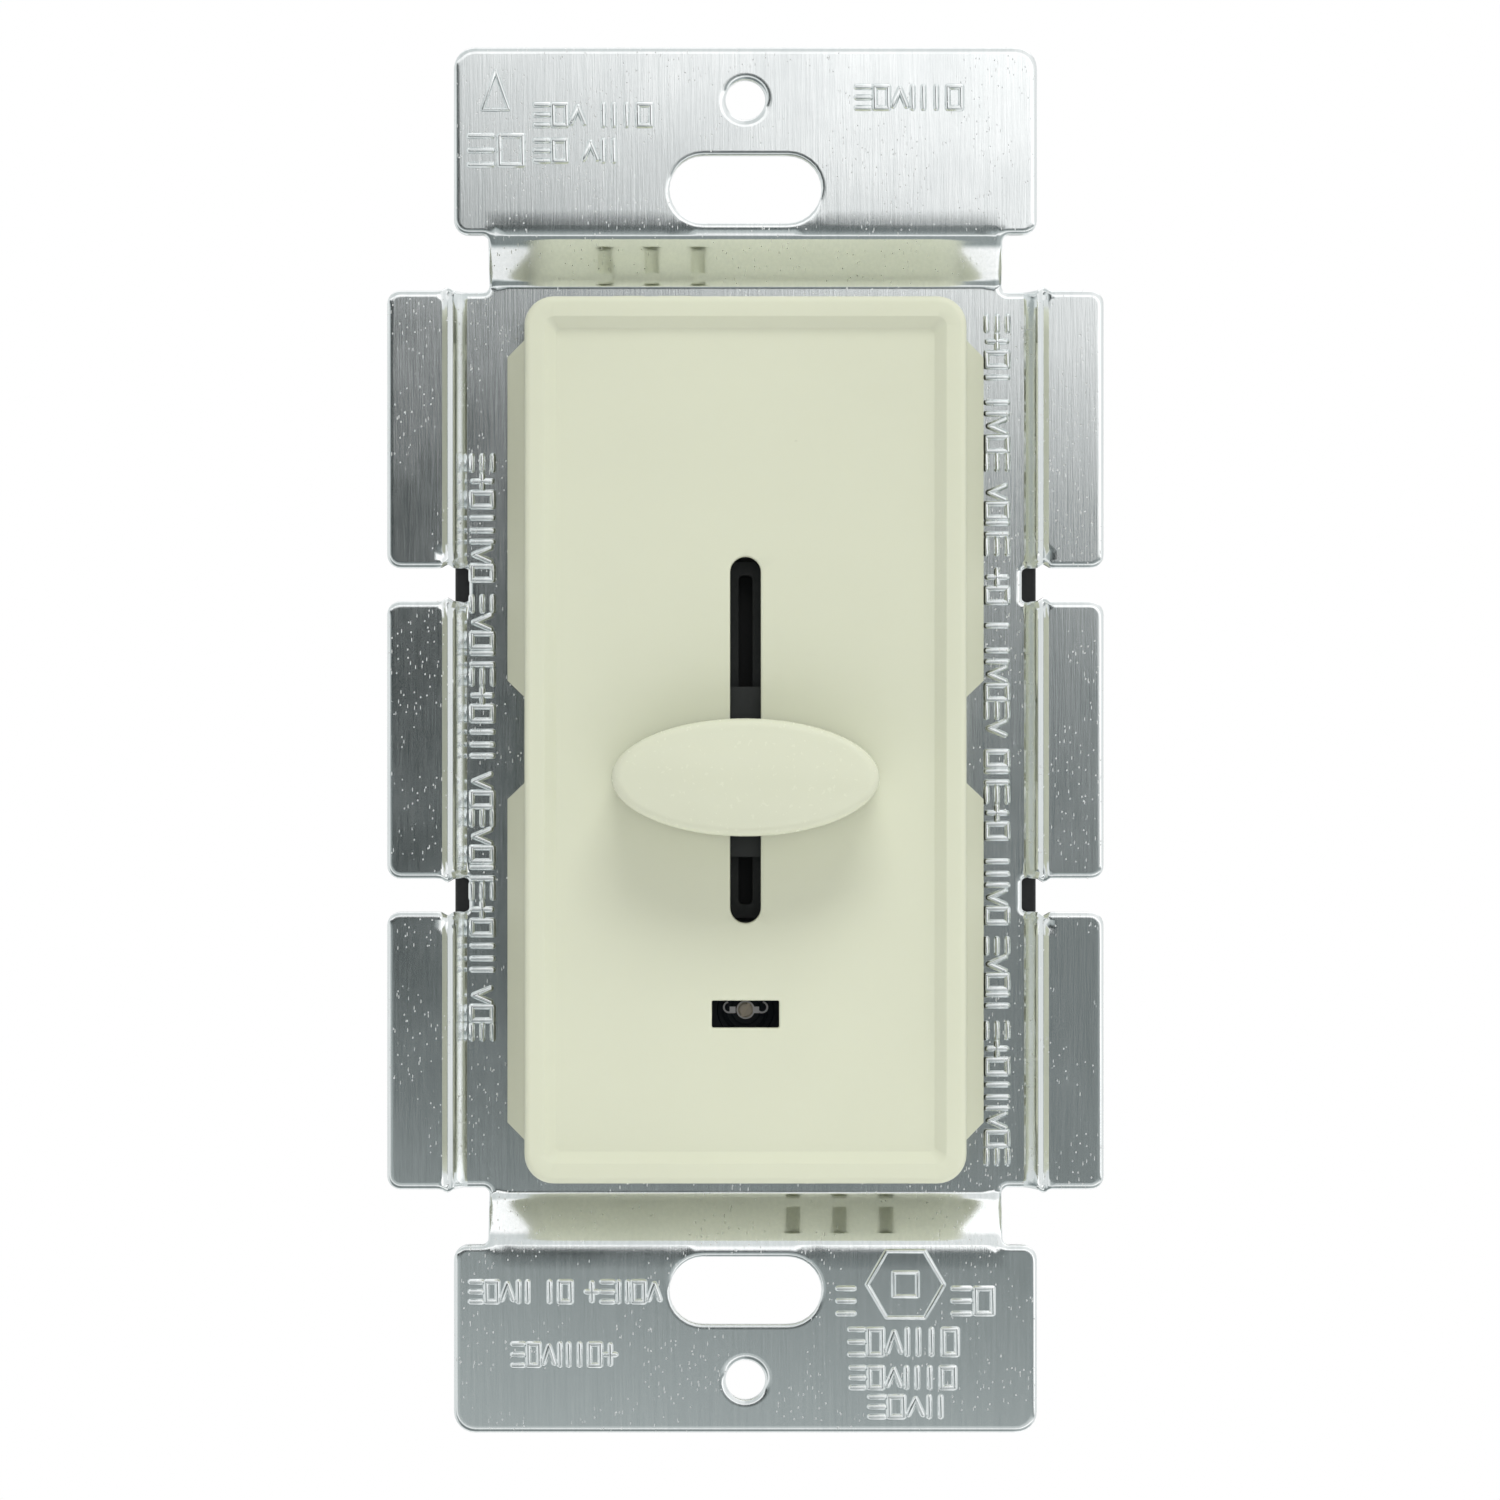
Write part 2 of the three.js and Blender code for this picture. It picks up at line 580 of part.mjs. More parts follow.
function trimmerBase() {
  const { half, front, back, well, bore } = TRIMMER;
  const body = slab(half, [front, back], half);
  const rim = ring(well, half - 0.1, [TRIMMER_DISC.front, front + 0.2], 20);
  const legs = TRIMMER_PINS.map((spot) => pin(spot, [back - 0.5, PIN_BACK]));
  return cut(join(body, rim, ...legs), rod(bore, [front - PAST, back + PAST], [0, 0], 12));
}

// A riveted post with its driver slot and the disc that carries the wiper.
function trimmerRotor() {
  const { radius, front, back, slot } = TRIMMER_POST;
  const disc = rod(TRIMMER_DISC.radius, [TRIMMER_DISC.front, TRIMMER_DISC.back]);
  const post = rod(radius, [front, back], [0, 0], 14);
  return cut(join(post, disc), slab(radius * 2, [front - PAST, front + 0.3], slot / 2));
}

function trimmerWiper() {
  const { length, width, front, back } = TRIMMER_BAR;
  const bar = thickened(roundEndedSlot(length, width, false), [front, back]);
  const eye = rod(0.95, [front, back], [0, 0], 16);
  return cut(join(bar, eye), rod(TRIMMER_POST.radius + 0.12, [front - PAST, back + PAST], [0, 0], 14));
}

function switchCase() {
  const { left, right, low, high, front, back, wall } = SWITCH;
  return cut(
    box([left, right], [front, back], [low, high]),
    box([left + wall, right - wall], [front + wall, back + PAST], [low + wall, high - wall]),
    rod(PLUNGER.bore, [0, 2 * wall + PAST], [0, 0], 14)
      .rotateZ(-Math.PI / 2)
      .translate(right - wall - PAST, PLUNGER.y, PLUNGER.z),
  );
}

function switchPlunger() {
  const collar = rod(PLUNGER.radius + 0.6, [0, 0.4], [0, 0], 14);
  const stem = rod(PLUNGER.radius, [0, PLUNGER.tip - PLUNGER.inner], [0, 0], 14);
  return join(stem, collar).rotateZ(-Math.PI / 2).translate(PLUNGER.inner, PLUNGER.y, PLUNGER.z);
}

function switchBlade() {
  const xRange = [BLADE.x - BLADE.thickness / 2, BLADE.x + BLADE.thickness / 2];
  return box(xRange, [BLADE.front, BLADE.back], [BLADE.low, BLADE.high]);
}

function switchTerminal(z) {
  return pin([TERMINAL.x, z], [TERMINAL.front, PIN_BACK], TERMINAL.width, TERMINAL.height);
}

// ---------------------------------------------------------------- triac on the strap's back

function triacLegPlaces() {
  return [-1, 0, 1].map((step) => TRIAC.x + step * TRIAC.pitch);
}

function triacTab() {
  const xRange = [TRIAC.x - TRIAC.halfWidth, TRIAC.x + TRIAC.halfWidth];
  const yRange = [TRIAC_TAB.front, TRIAC_TAB.back];
  const hole = rod(RIVET.shank + GAP, [yRange[0] - PAST, yRange[1] + PAST], [TRIAC.x, TRIAC.rivetZ], 16);
  return cut(box(xRange, yRange, [TRIAC_TAB.low, TRIAC_TAB.high]), hole);
}

function triacBody() {
  const { low, high, front, back } = TRIAC_BODY;
  return box([TRIAC.x - TRIAC.halfWidth + 0.1, TRIAC.x + TRIAC.halfWidth - 0.1], [front, back], [low, high]);
}

function triacLeg() {
  const { top, low, thickness, front } = TRIAC_LEG;
  const points = [
    [front, top],
    [front, low],
    [PIN_BACK, low],
    [PIN_BACK, low + thickness],
    [front + thickness, low + thickness],
    [front + thickness, top],
  ];
  return pulledAlongX(points, PIN / 2);
}

function triacRivet() {
  return join(
    rod(RIVET.head, [RIVET.front, RIVET.frontFace]),
    rod(RIVET.shank, [RIVET.front, RIVET.back], [0, 0], 12),
    rod(RIVET.head, [RIVET.backFace, RIVET.back]),
  );
}

// ---------------------------------------------------------------- parts on the board's back

function chokeCore() {
  return ring(CHOKE.inner, CHOKE.outer, [CHOKE.front, CHOKE.back]);
}

function chokePins() {
  const radius = (CHOKE.inner + CHOKE.outer) / 2;
  return SIDES.map((side) => {
    const angle = THREE.MathUtils.degToRad(90 + side * CHOKE_PIN_ANGLE);
    return [radius * Math.cos(angle), radius * Math.sin(angle)];
  });
}

// The turns as one sleeve round the core, open where the two wire ends leave it.
function chokeWinding() {
  const { inner, outer, front, back, winding } = CHOKE;
  const skin = winding + GAP;
  const halfAngle = THREE.MathUtils.degToRad(CHOKE.opening / 2);
  const reach = 2 * outer;
  const wedge = polygon([[0, 0], [reach * Math.sin(halfAngle), reach * Math.cos(halfAngle)],
    [-reach * Math.sin(halfAngle), reach * Math.cos(halfAngle)]]);
  const sleeve = cut(
    ring(inner - skin, outer + skin, [front - skin, back + skin]),
    ring(inner - GAP, outer + GAP, [front - GAP, back + GAP]),
    thickened(wedge, [front - 2 * skin, back + 2 * skin]),
  );
  return join(sleeve, ...chokePins().map((spot) => pin(spot, [PIN_FRONT, front - GAP - winding / 2])));
}

function capacitorPins({ left, right, low, high }) {
  const inset = (right - left) / 6;
  return [left + inset, right - inset].map((x) => [x, (low + high) / 2]);
}

function boxCapacitor(size) {
  const front = BOARD.back + STANDOFF;
  return join(
    box([size.left, size.right], [front, size.back], [size.low, size.high]),
    ...capacitorPins(size).map((spot) => pin(spot, [PIN_FRONT, front + 0.5])),
  );
}

const AXIAL_HEIGHTS = [10, 14.5, 19];

function axialPins(z) {
  return SIDES.map((side) => [AXIAL.x + (side * AXIAL.span) / 2, z]);
}

// A lying component whose wires turn down into the board.
function axialPart(bodyLength, bodyRadius) {
  const y = BOARD.back + AXIAL.height;
  const half = AXIAL.span / 2;
  const body = new THREE.CylinderGeometry(bodyRadius, bodyRadius, bodyLength, 14).rotateZ(Math.PI / 2);
  return join(
    body.translate(0, y, 0),
    box([-half - AXIAL.wire, half + AXIAL.wire], [y - AXIAL.wire, y + AXIAL.wire], [-AXIAL.wire, AXIAL.wire]),
    ...SIDES.map((side) => pin([side * half, 0], [PIN_FRONT, y], 2 * AXIAL.wire)),
  );
}

// ---------------------------------------------------------------- the assembly

const FINISHES = {
  aluminium: { color: 0xb9bdbd, roughness: 0.38, metalness: 1 },
  ivory: { color: 0xd5d9c3, roughness: 0.42, metalness: 0 },
  blackPlastic: { color: 0x161a1a, roughness: 0.5, metalness: 0 },
  steel: { color: 0xa3a5a8, roughness: 0.35, metalness: 1 },
  tinned: { color: 0xc3c4c2, roughness: 0.4, metalness: 1 },
  bronze: { color: 0xa9895a, roughness: 0.4, metalness: 1 },
  fishPaper: { color: 0x4b5148, roughness: 0.85, metalness: 0 },
  laminate: { color: 0xa98450, roughness: 0.65, metalness: 0 },
  phenolic: { color: 0x6b4526, roughness: 0.6, metalness: 0 },
  ferrite: { color: 0xd8c23a, roughness: 0.55, metalness: 0 },
  enamelledWire: { color: 0xa4491d, roughness: 0.3, metalness: 0.8 },
  yellowBox: { color: 0xd9b73a, roughness: 0.45, metalness: 0 },
  redDip: { color: 0x9a2d1f, roughness: 0.35, metalness: 0 },
  trimmerBlack: { color: 0x1f2628, roughness: 0.5, metalness: 0 },
  resistorTan: { color: 0xc9ac7c, roughness: 0.45, metalness: 0 },
  whitePlastic: { color: 0xdfdfd8, roughness: 0.45, metalness: 0 },
};

function piece(name, finish, geometry, x = 0, y = 0, z = 0) {
  const mesh = new THREE.Mesh(geometry, new THREE.MeshStandardMaterial(FINISHES[finish]));
  mesh.name = name;
  mesh.position.set(x, y, z);
  return mesh;
}

function frontAssembly() {
  const group = new THREE.Group();
  group.add(
    piece("mounting_strap", "aluminium", mountingStrap()),
    piece("face_frame", "ivory", faceFrame()),
    piece("slider_guide", "blackPlastic", sliderGuide()),
  );
  return group;
}

function sliderAssembly() {
  const group = new THREE.Group();
  group.position.z = SLIDER_REST;
  group.add(
    piece("slide_knob", "ivory", slideKnob()),
    piece("slider_carriage", "blackPlastic", sliderCarriage()),
    piece("pot_carriage", "whitePlastic", potCarriage()),
    piece("pot_wiper", "bronze", potWiper()),
  );
  return group;
}

function housingAssembly() {
  const group = new THREE.Group();
  group.add(
    piece("rear_housing", "blackPlastic", rearHousing()),
    piece("insulating_sheet", "fishPaper", insulatingSheet()),
  );
  eachCorner(BOSS.x, BOSS.z).forEach(([x, z], i) => {
    group.add(piece(`housing_screw_${i + 1}`, "steel", housingScrew(), x, 0, z));
  });
  return group;
}

function trimmerAssembly() {
  const group = new THREE.Group();
  group.position.z = TRIMMER.z;
  group.add(
    piece("trimmer_base", "trimmerBlack", trimmerBase()),
    piece("trimmer_rotor", "bronze", trimmerRotor()),
    piece("trimmer_wiper", "tinned", trimmerWiper()),
  );
  return group;
}

function switchAssembly() {
  const group = new THREE.Group();
  group.add(
    piece("switch_case", "blackPlastic", switchCase()),
    piece("switch_plunger", "whitePlastic", switchPlunger()),
    piece("switch_blade", "bronze", switchBlade()),
  );
  TERMINAL.heights.forEach((z, i) => {
    group.add(piece(`switch_terminal_${i + 1}`, "tinned", switchTerminal(z)));
  });
  return group;
}

function triacAssembly() {
  const group = new THREE.Group();
  group.add(
    piece("triac_tab", "tinned", triacTab()),
    piece("triac_body", "blackPlastic", triacBody()),
    piece("triac_rivet", "aluminium", triacRivet(), TRIAC.x, 0, TRIAC.rivetZ),
  );
  triacLegPlaces().forEach((x, i) => group.add(piece(`triac_leg_${i + 1}`, "tinned", triacLeg(), x)));
  return group;
}

function boardAssembly() {
  const group = new THREE.Group();
  const [diacZ, lowResistorZ, highResistorZ] = AXIAL_HEIGHTS;
  group.add(
    piece("circuit_board", "laminate", circuitBoard()),
    piece("pot_shell", "steel", potShell()),
    piece("pot_track", "phenolic", potTrack()),
    piece("choke_core", "ferrite", chokeCore(), CHOKE.x, 0, CHOKE.z),
    piece("choke_winding", "enamelledWire", chokeWinding(), CHOKE.x, 0, CHOKE.z),
    piece("suppression_capacitor", "yellowBox", boxCapacitor(FILM_CAPACITOR)),
    piece("timing_capacitor", "redDip", boxCapacitor(TIMING_CAPACITOR)),
    piece("diac", "redDip", axialPart(4, 0.95), AXIAL.x, 0, diacZ),
    piece("resistor_1", "resistorTan", axialPart(6.3, 1.2), AXIAL.x, 0, lowResistorZ),
    piece("resistor_2", "resistorTan", axialPart(6.3, 1.2), AXIAL.x, 0, highResistorZ),
  );
  return group;
}

const dimmer = new THREE.Group();
dimmer.add(
  frontAssembly(),
  sliderAssembly(),
  housingAssembly(),
  boardAssembly(),
  trimmerAssembly(),
  switchAssembly(),
  triacAssembly(),
);

export default dimmer;
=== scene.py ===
"""A wall-box slide dimmer in an aluminium strap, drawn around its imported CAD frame.

Shapes are worked out in millimetres in the CAD frame (X right, Y into the wall, Z up) and stored in metres.
"""

import random
from math import atan2, ceil, copysign, cos, degrees, dist, exp, pi, radians, sin, sqrt, tan
from types import SimpleNamespace as Sizes

import bmesh
import bpy
import numpy as np
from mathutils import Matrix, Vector
from mathutils.geometry import delaunay_2d_cdt


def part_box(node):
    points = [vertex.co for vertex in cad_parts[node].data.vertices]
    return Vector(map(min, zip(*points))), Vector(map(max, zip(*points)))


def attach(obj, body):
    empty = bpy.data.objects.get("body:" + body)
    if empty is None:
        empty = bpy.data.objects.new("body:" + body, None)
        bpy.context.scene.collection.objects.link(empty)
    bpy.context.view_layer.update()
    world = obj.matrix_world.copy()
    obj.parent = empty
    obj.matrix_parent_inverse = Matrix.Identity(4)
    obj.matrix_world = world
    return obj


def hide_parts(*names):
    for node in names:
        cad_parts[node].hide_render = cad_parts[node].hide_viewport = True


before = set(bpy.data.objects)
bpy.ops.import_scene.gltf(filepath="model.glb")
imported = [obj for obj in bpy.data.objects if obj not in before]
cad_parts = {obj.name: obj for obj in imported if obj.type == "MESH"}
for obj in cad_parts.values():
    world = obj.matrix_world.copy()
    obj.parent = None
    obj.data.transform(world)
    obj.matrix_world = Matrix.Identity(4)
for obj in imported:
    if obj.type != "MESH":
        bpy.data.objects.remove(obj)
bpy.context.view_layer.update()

MM = 0.001


def limits(node):
    """A CAD node's lowest and highest corners, in millimetres."""
    low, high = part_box(node)
    return low / MM, high / MM


# ---- sizes, from the frame where it holds them

STRAP_LOW, STRAP_HIGH = limits("mounting_strap")
FACE_LOW, _ = limits("face_frame")
KNOB_LOW, KNOB_HIGH = limits("slide_knob")
GUIDE_LOW, GUIDE_HIGH = limits("slider_guide")
SHIELD_LOW, SHIELD_HIGH = limits("slider_carriage")
HOUSING_LOW, HOUSING_HIGH = limits("rear_housing")

SHEET = 1.3  # strap metal
PLATE = Sizes(front=STRAP_HIGH.y - SHEET, top=34.0, half_width=21.0)
FORWARD = PLATE.front - STRAP_LOW.y  # the ears and fins stand this far in front of the plate
EAR = Sizes(half_width=22.05, top=STRAP_HIGH.z, bottom=38.2, corner=1.6)
WEB = Sizes(half_width=19.45, slope=(34.7, 37.75))
FIN = Sizes(outer=STRAP_HIGH.x, corner=1.0, joggle=(21.35, 21.95))
FRONT_BENDS = {"web": (0.3, 0.8), "web_lag": 0, "fin": (0.2, 0.14), "fin_lag": 0}
BACK_BENDS = {"web": (0.9, 0.9), "web_lag": 0.5, "fin": (0.2, 0.2), "fin_lag": 0.75}
STRAP_EDGE = 0.32  # the blanked edge rolls over this far
PUNCHED_EDGE = 0.12
SCORE = Sizes(x=22.55, half_width=0.4, depth=0.22, bulge=0.28)
NOTCH = Sizes(low=10.5, high=13.0)
PLATE_SCREW = Sizes(z=48.42, radius=1.5)
BOX_SLOT = Sizes(z=41.66, length=11.5, width=5.1)
BOSS = Sizes(x=(-12.2, 12.2), z=28.4)
HOOK = Sizes(x=14.7, z=23)

FACE = Sizes(half_width=16.65, half_height=33.35, corner=2.2, edge=0.5, draft=0.06, front=FACE_LOW.y,
             back=1.3)
PANEL = Sizes(front=FACE_LOW.y + 0.7, back=FACE_LOW.y + 2.2)
RIM = Sizes(width=1.6, slope=0.85)
WALL = 1.6  # sides of the face frame
WING = Sizes(inner=16.2, outer=18.05, low=3.2, high=30.3, chamfer=1.3, front=-1.2, edge=0.3)
VENT = Sizes(width=1.1, pitch=3.55, first=3.6, count=3, front=-2.5, back=0.7, depth=1.42)
SLOT = Sizes(length=27.5, width=2.3)
WINDOW = Sizes(z=-20.6, width=5.05, height=2.05)

KNOB = Sizes(half_width=10.0, half_height=4.4, edge=0.85, crown=0.42, wall=1.3,
             z=(KNOB_LOW.z + KNOB_HIGH.z) / 2)
SHIELD = Sizes(half_width=4.2, front=-4.5, back=-3.4)
STEM = Sizes(half_width=0.95, half_height=3.1, front=-11)
GUIDE = Sizes(half_width=8.3, front=-3.1, back=-0.9, groove=0.8, groove_half=1.5, groove_end=13.55)
HOUSING = Sizes(corner=2.0, wall=1.5, step=0.45, draft=0.4, back_edge=1.3)
LEAD_HOLE = Sizes(x=5.0, z=-14.0)
CHOKE = Sizes(x=8.5, z=-9.8, radius=5.5, middle=17.75, turns=22, steps=14, start=124, stop=416)
AXIAL = Sizes(x=-12.0, y=14.1, reach=5.0, heights=(10.0, 14.5, 19.0))

CORNERS = [(side_x, side_z) for side_x in (1, -1) for side_z in (1, -1)]
INNER_CLEARANCE = 0.16  # inner points keep this far from every outline
EDGE_DEPTH = 0.6  # depth of a rounded edge as a share of its width
EDGE_SUPPORT = 0.2  # a flat strip inside each rounded edge keeps the shading of the flat even


# ---- outlines in X and Z

def arc(centre, radius, start, stop, steps):
    """Points along an arc; the angles are in degrees."""
    turns = [radians(start + (stop - start) * i / steps) for i in range(steps + 1)]
    return [(centre[0] + radius * cos(turn), centre[1] + radius * sin(turn)) for turn in turns]


def rounded(corners, steps=6):
    """A closed outline through corners (x, z, radius), with an arc at each corner."""
    points = []
    for i, (x, z, radius) in enumerate(corners):
        here = Vector((x, z))
        to_last = (Vector(corners[i - 1][:2]) - here).normalized()
        to_next = (Vector(corners[(i + 1) % len(corners)][:2]) - here).normalized()
        half = to_last.angle(to_next) / 2
        reach = radius / tan(half)
        centre = here + (to_last + to_next).normalized() * (radius / sin(half))
        first = here + to_last * reach - centre
        last = here + to_next * reach - centre
        start = degrees(atan2(first.y, first.x))
        points += arc(centre, radius, start, start - degrees(first.angle_signed(last)), steps)
    return points


def refined(points, step):
    """The same outline with no side longer than step."""
    out = []
    for a, b in zip(points, points[1:] + points[:1]):
        count = max(1, ceil(dist(a, b) / step - 1e-6))
        out += [(a[0] + (b[0] - a[0]) * i / count, a[1] + (b[1] - a[1]) * i / count) for i in range(count)]
    return out


def circle(x, z, radius, steps=40):
    return arc((x, z), radius, 0, 360, steps)[:-1]


def stadium(x, z, length, width, along_z=False, steps=14):
    reach = (length - width) / 2
    turn = 90 if along_z else 0
    dx, dz = (0, reach) if along_z else (reach, 0)
    ends = arc((x + dx, z + dz), width / 2, turn - 90, turn + 90, steps)
    return ends + arc((x - dx, z - dz), width / 2, turn + 90, turn + 270, steps)


def rectangle(x1, x2, z1, z2, radius, steps=6):
    return rounded([(x2, z1, radius), (x2, z2, radius), (x1, z2, radius), (x1, z1, radius)], steps)


def centred(x, z, half_width, half_height, radius, steps=6):
    """A rounded rectangle about a centre."""
    return rectangle(x - half_width, x + half_width, z - half_height, z + half_height, radius, steps)


def ellipse(half_width, half_height, centre_z, steps=96):
    turns = [2 * pi * i / steps for i in range(steps)]
    return [(half_width * cos(turn), centre_z + half_height * sin(turn)) for turn in turns]


def inset(loop, distance):
    """A loop moved to its left, which is into the material for an outline that runs anticlockwise."""
    moved = []
    for i, here in enumerate(loop):
        before = Vector(here) - Vector(loop[i - 1])
        after = Vector(loop[(i + 1) % len(loop)]) - Vector(here)
        n1 = Vector((-before.y, before.x)).normalized()
        n2 = Vector((-after.y, after.x)).normalized()
        middle = (n1 + n2).normalized() / max(0.35, sqrt(max(0.0, (1 + n1.dot(n2)) / 2)))
        moved.append((here[0] + middle.x * distance, here[1] + middle.y * distance))
    return moved


def hole(loop):
    """A hole's outline runs clockwise, so that the material is on its left too."""
    return list(reversed(loop))


def quarter(radius, steps=5):
    """(inset, rise) along a rounded edge, from its side to its top."""
    for i in range(steps + 1):
        angle = radians(90 * i / steps)
        yield radius * (1 - cos(angle)), radius * sin(angle)


def ramp(value, start, stop, blends):
    """0 before start, 1 after stop, straight between, with each bend rounded over its own blend."""
    def lifted(u, blend):
        return u if u >= blend else (max(u, -blend) + blend) ** 2 / (4 * blend)

    return (lifted(value - start, blends[0]) - lifted(value - stop, blends[1])) / (stop - start)


def within(points, loops):
    """True for each point inside the outline and outside its holes."""
    inside = np.zeros(len(points), bool)
    px, pz = points[:, 0], points[:, 1]
    for loop in loops:
        for (ax, az), (bx, bz) in zip(loop, loop[1:] + loop[:1]):
            if az != bz:
                crosses = (az > pz) != (bz > pz)
                inside ^= crosses & (px < (bx - ax) * (pz - az) / (bz - az) + ax)
    return inside


def grid(x1, x2, z1, z2, step):
    nx = max(1, round((x2 - x1) / step))
    nz = max(1, round((z2 - z1) / step))
    return [(x1 + (x2 - x1) * i / nx, z1 + (z2 - z1) * j / nz) for i in range(nx + 1) for j in range(nz + 1)]


def depth_at(surface, x, z):
    """A surface is a depth y, or a function y(x, z)."""
    return surface(x, z) if callable(surface) else surface


# ---- mesh building

def placed(name, data):
    """A new object in the scene."""
    obj = bpy.data.objects.new(name, data)
    bpy.context.scene.collection.objects.link(obj)
    return obj


class Ring(list):
    """Vertices in a closed ring, with the outline in X and Z that they follow."""

    def __init__(self, verts, loop):
        super().__init__(verts)
        self.loop = loop


class Build:
    """Gathers rings, skins and filled outlines in millimetres into one piece."""

    def __init__(self):
        self.bm = bmesh.new()

    def ring(self, points):
        return [self.bm.verts.new(Vector(p) * MM) for p in points]

    def level(self, loop, surface, down=0):
        """A ring along an outline, on a surface or this far behind it."""
        return Ring(self.ring([(x, depth_at(surface, x, z) + down, z) for x, z in loop]), loop)

    def bridge(self, a, b):
        for i in range(len(a)):
            j = (i + 1) % len(a)
            self.bm.faces.new((a[i], a[j], b[j], b[i]))

    def skin(self, rings):
        for a, b in zip(rings, rings[1:]):
            self.bridge(a, b)

    def closed(self, rings):
        """A skin along the rings, with a cap at each end."""
        self.skin(rings)
        self.bm.faces.new(rings[0])
        self.bm.faces.new(rings[-1])

    def fill(self, rings, inner, surface):
        """Triangles inside the outer ring and outside the rings of its holes, through the inner points."""
        loops = [ring.loop for ring in rings]
        coords = [Vector(p) for loop in loops for p in loop]
        verts = [v for ring in rings for v in ring]
        edges = []
        for loop in loops:
            start, count = len(edges), len(loop)
            edges += [(start + i, start + (i + 1) % count) for i in range(count)]
        rim = np.array([tuple(p) for p in coords])
        for p in inner:
            if np.min(np.hypot(rim[:, 0] - p[0], rim[:, 1] - p[1])) > INNER_CLEARANCE:
                coords.append(Vector(p))
                verts.append(None)
        out_coords, _, faces, origins, _, _ = delaunay_2d_cdt(coords, edges, [], 2, 1e-6)
        centres = [[sum(out_coords[k][axis] for k in face) / 3 for axis in (0, 1)] for face in faces]
        made = {}
        for face in (f for f, inside in zip(faces, within(np.array(centres), loops)) if inside):
            corners = []
            for index in face:
                if index not in made:
                    old = [verts[k] for k in origins[index] if verts[k] is not None]
                    x, z = out_coords[index]
                    made[index] = old[0] if old else self.ring([(x, depth_at(surface, x, z), z)])[0]
                corners.append(made[index])
            if len(set(corners)) == 3:
                self.bm.faces.new(corners)

    def sheet(self, outlines, front, back, inner):
        """A plate between two surfaces; each outline comes with the radius that its edges are rounded to."""
        rims = []
        for surface, sign in ((front, 1), (back, -1)):
            flat, rim = [], []
            for loop, edge in outlines:
                rings = []
                for angle in map(radians, (0, 22, 45, 68, 90)):
                    down = sign * edge * EDGE_DEPTH * (1 - sin(angle))
                    rings.append(self.level(inset(loop, edge * (1 - cos(angle))), surface, down))
                rings.append(self.level(inset(loop, edge + EDGE_SUPPORT), surface))
                self.skin(rings)
                rim.append(rings[0])
                flat.append(rings[-1])
            self.fill(flat, inner, surface)
            rims.append(rim)
        for a, b in zip(*rims):
            self.bridge(a, b)

    def prism(self, corners, bevel=0.0, segments=2):
        """A closed body through matching rings of corners, with its edges rounded."""
        before = set(self.bm.faces)
        self.closed([self.ring(ring) for ring in corners])
        if bevel:
            edges = {e for f in self.bm.faces if f not in before for e in f.edges}
            sharp = [e for e in edges if len(e.link_faces) == 2 and e.calc_face_angle(0) > radians(25)]
            bmesh.ops.bevel(self.bm, geom=sharp, offset=bevel * MM, segments=segments, profile=0.5,
                            affect="EDGES", clamp_overlap=True)

    def box(self, x, y, z, bevel=0.0, segments=2):
        corners = ((0, 0), (1, 0), (1, 1), (0, 1))
        self.prism([[(x[i], depth, z[j]) for i, j in corners] for depth in y], bevel, segments)

    def turned(self, profile, centre, steps=40):
        """A body turned about an axis along Y; the profile is (radius, y) from the axis back to the axis."""
        self.closed([self.level(circle(*centre, max(radius, 1e-3), steps), y) for radius, y in profile])

    def ringed(self, profile, centre, steps=48):
        """A ring about an axis along Y; the profile is a closed loop of (radius, y)."""
        rings = [self.level(circle(*centre, radius, steps), y) for radius, y in profile]
        self.skin(rings + rings[:1])

    def tube(self, path, radii, sides=12):
        """A round wire along a list of points; radii is a number, or a list with one for each point."""
        points = [Vector(p) for p in path]
        radii = radii if isinstance(radii, list) else [radii] * len(points)
        turns = [2 * pi * k / sides for k in range(sides)]
        side = (points[1] - points[0]).normalized().orthogonal().normalized()
        rings = []
        for i, here in enumerate(points):
            along = (points[min(i + 1, len(points) - 1)] - points[max(i - 1, 0)]).normalized()
            side = (side - along * side.dot(along)).normalized()
            up = along.cross(side)
            around = [side * cos(turn) + up * sin(turn) for turn in turns]
            rings.append(self.ring([here + outward * radii[i] for outward in around]))
        self.closed(rings)

    def mesh(self, name):
        bmesh.ops.recalc_face_normals(self.bm, faces=self.bm.faces)
        mesh = bpy.data.meshes.new(name)
        self.bm.to_mesh(mesh)
        self.bm.free()
        return mesh

    def piece(self, name, slot, replaced=(), sharp=32, cutter=None, body="chassis", look=None):
        """The finished object; cutter is another Build whose bodies are cut out of it.

        Its material is the look named like its slot, unless it has its own.
        """
        obj = placed(name, self.mesh(name))
        if cutter:
            carve(obj, cutter.mesh(name + "_tool"))
        for polygon in obj.data.polygons:
            polygon.use_smooth = True
        obj.data.set_sharp_from_angle(angle=radians(sharp))
        obj.data.materials.append(look or LOOKS[slot])
        obj.modifiers.new("even_shading", "WEIGHTED_NORMAL").keep_sharp = True
        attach(obj, body)
        if replaced:
            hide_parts(*replaced)
        return obj


def carve(obj, tool_mesh):
    tool = placed(tool_mesh.name, tool_mesh)
    modifier = obj.modifiers.new("cut", "BOOLEAN")
    modifier.operation = "DIFFERENCE"
    modifier.solver = "EXACT"
    modifier.use_self = True
    modifier.object = tool
    whole = obj.data
    obj.data = bpy.data.meshes.new_from_object(obj.evaluated_get(bpy.context.evaluated_depsgraph_get()))
    obj.modifiers.remove(modifier)
    bpy.data.meshes.remove(whole)
    bpy.data.objects.remove(tool)
    bpy.data.meshes.remove(tool_mesh)


# ---- materials, and LOOKS by their names

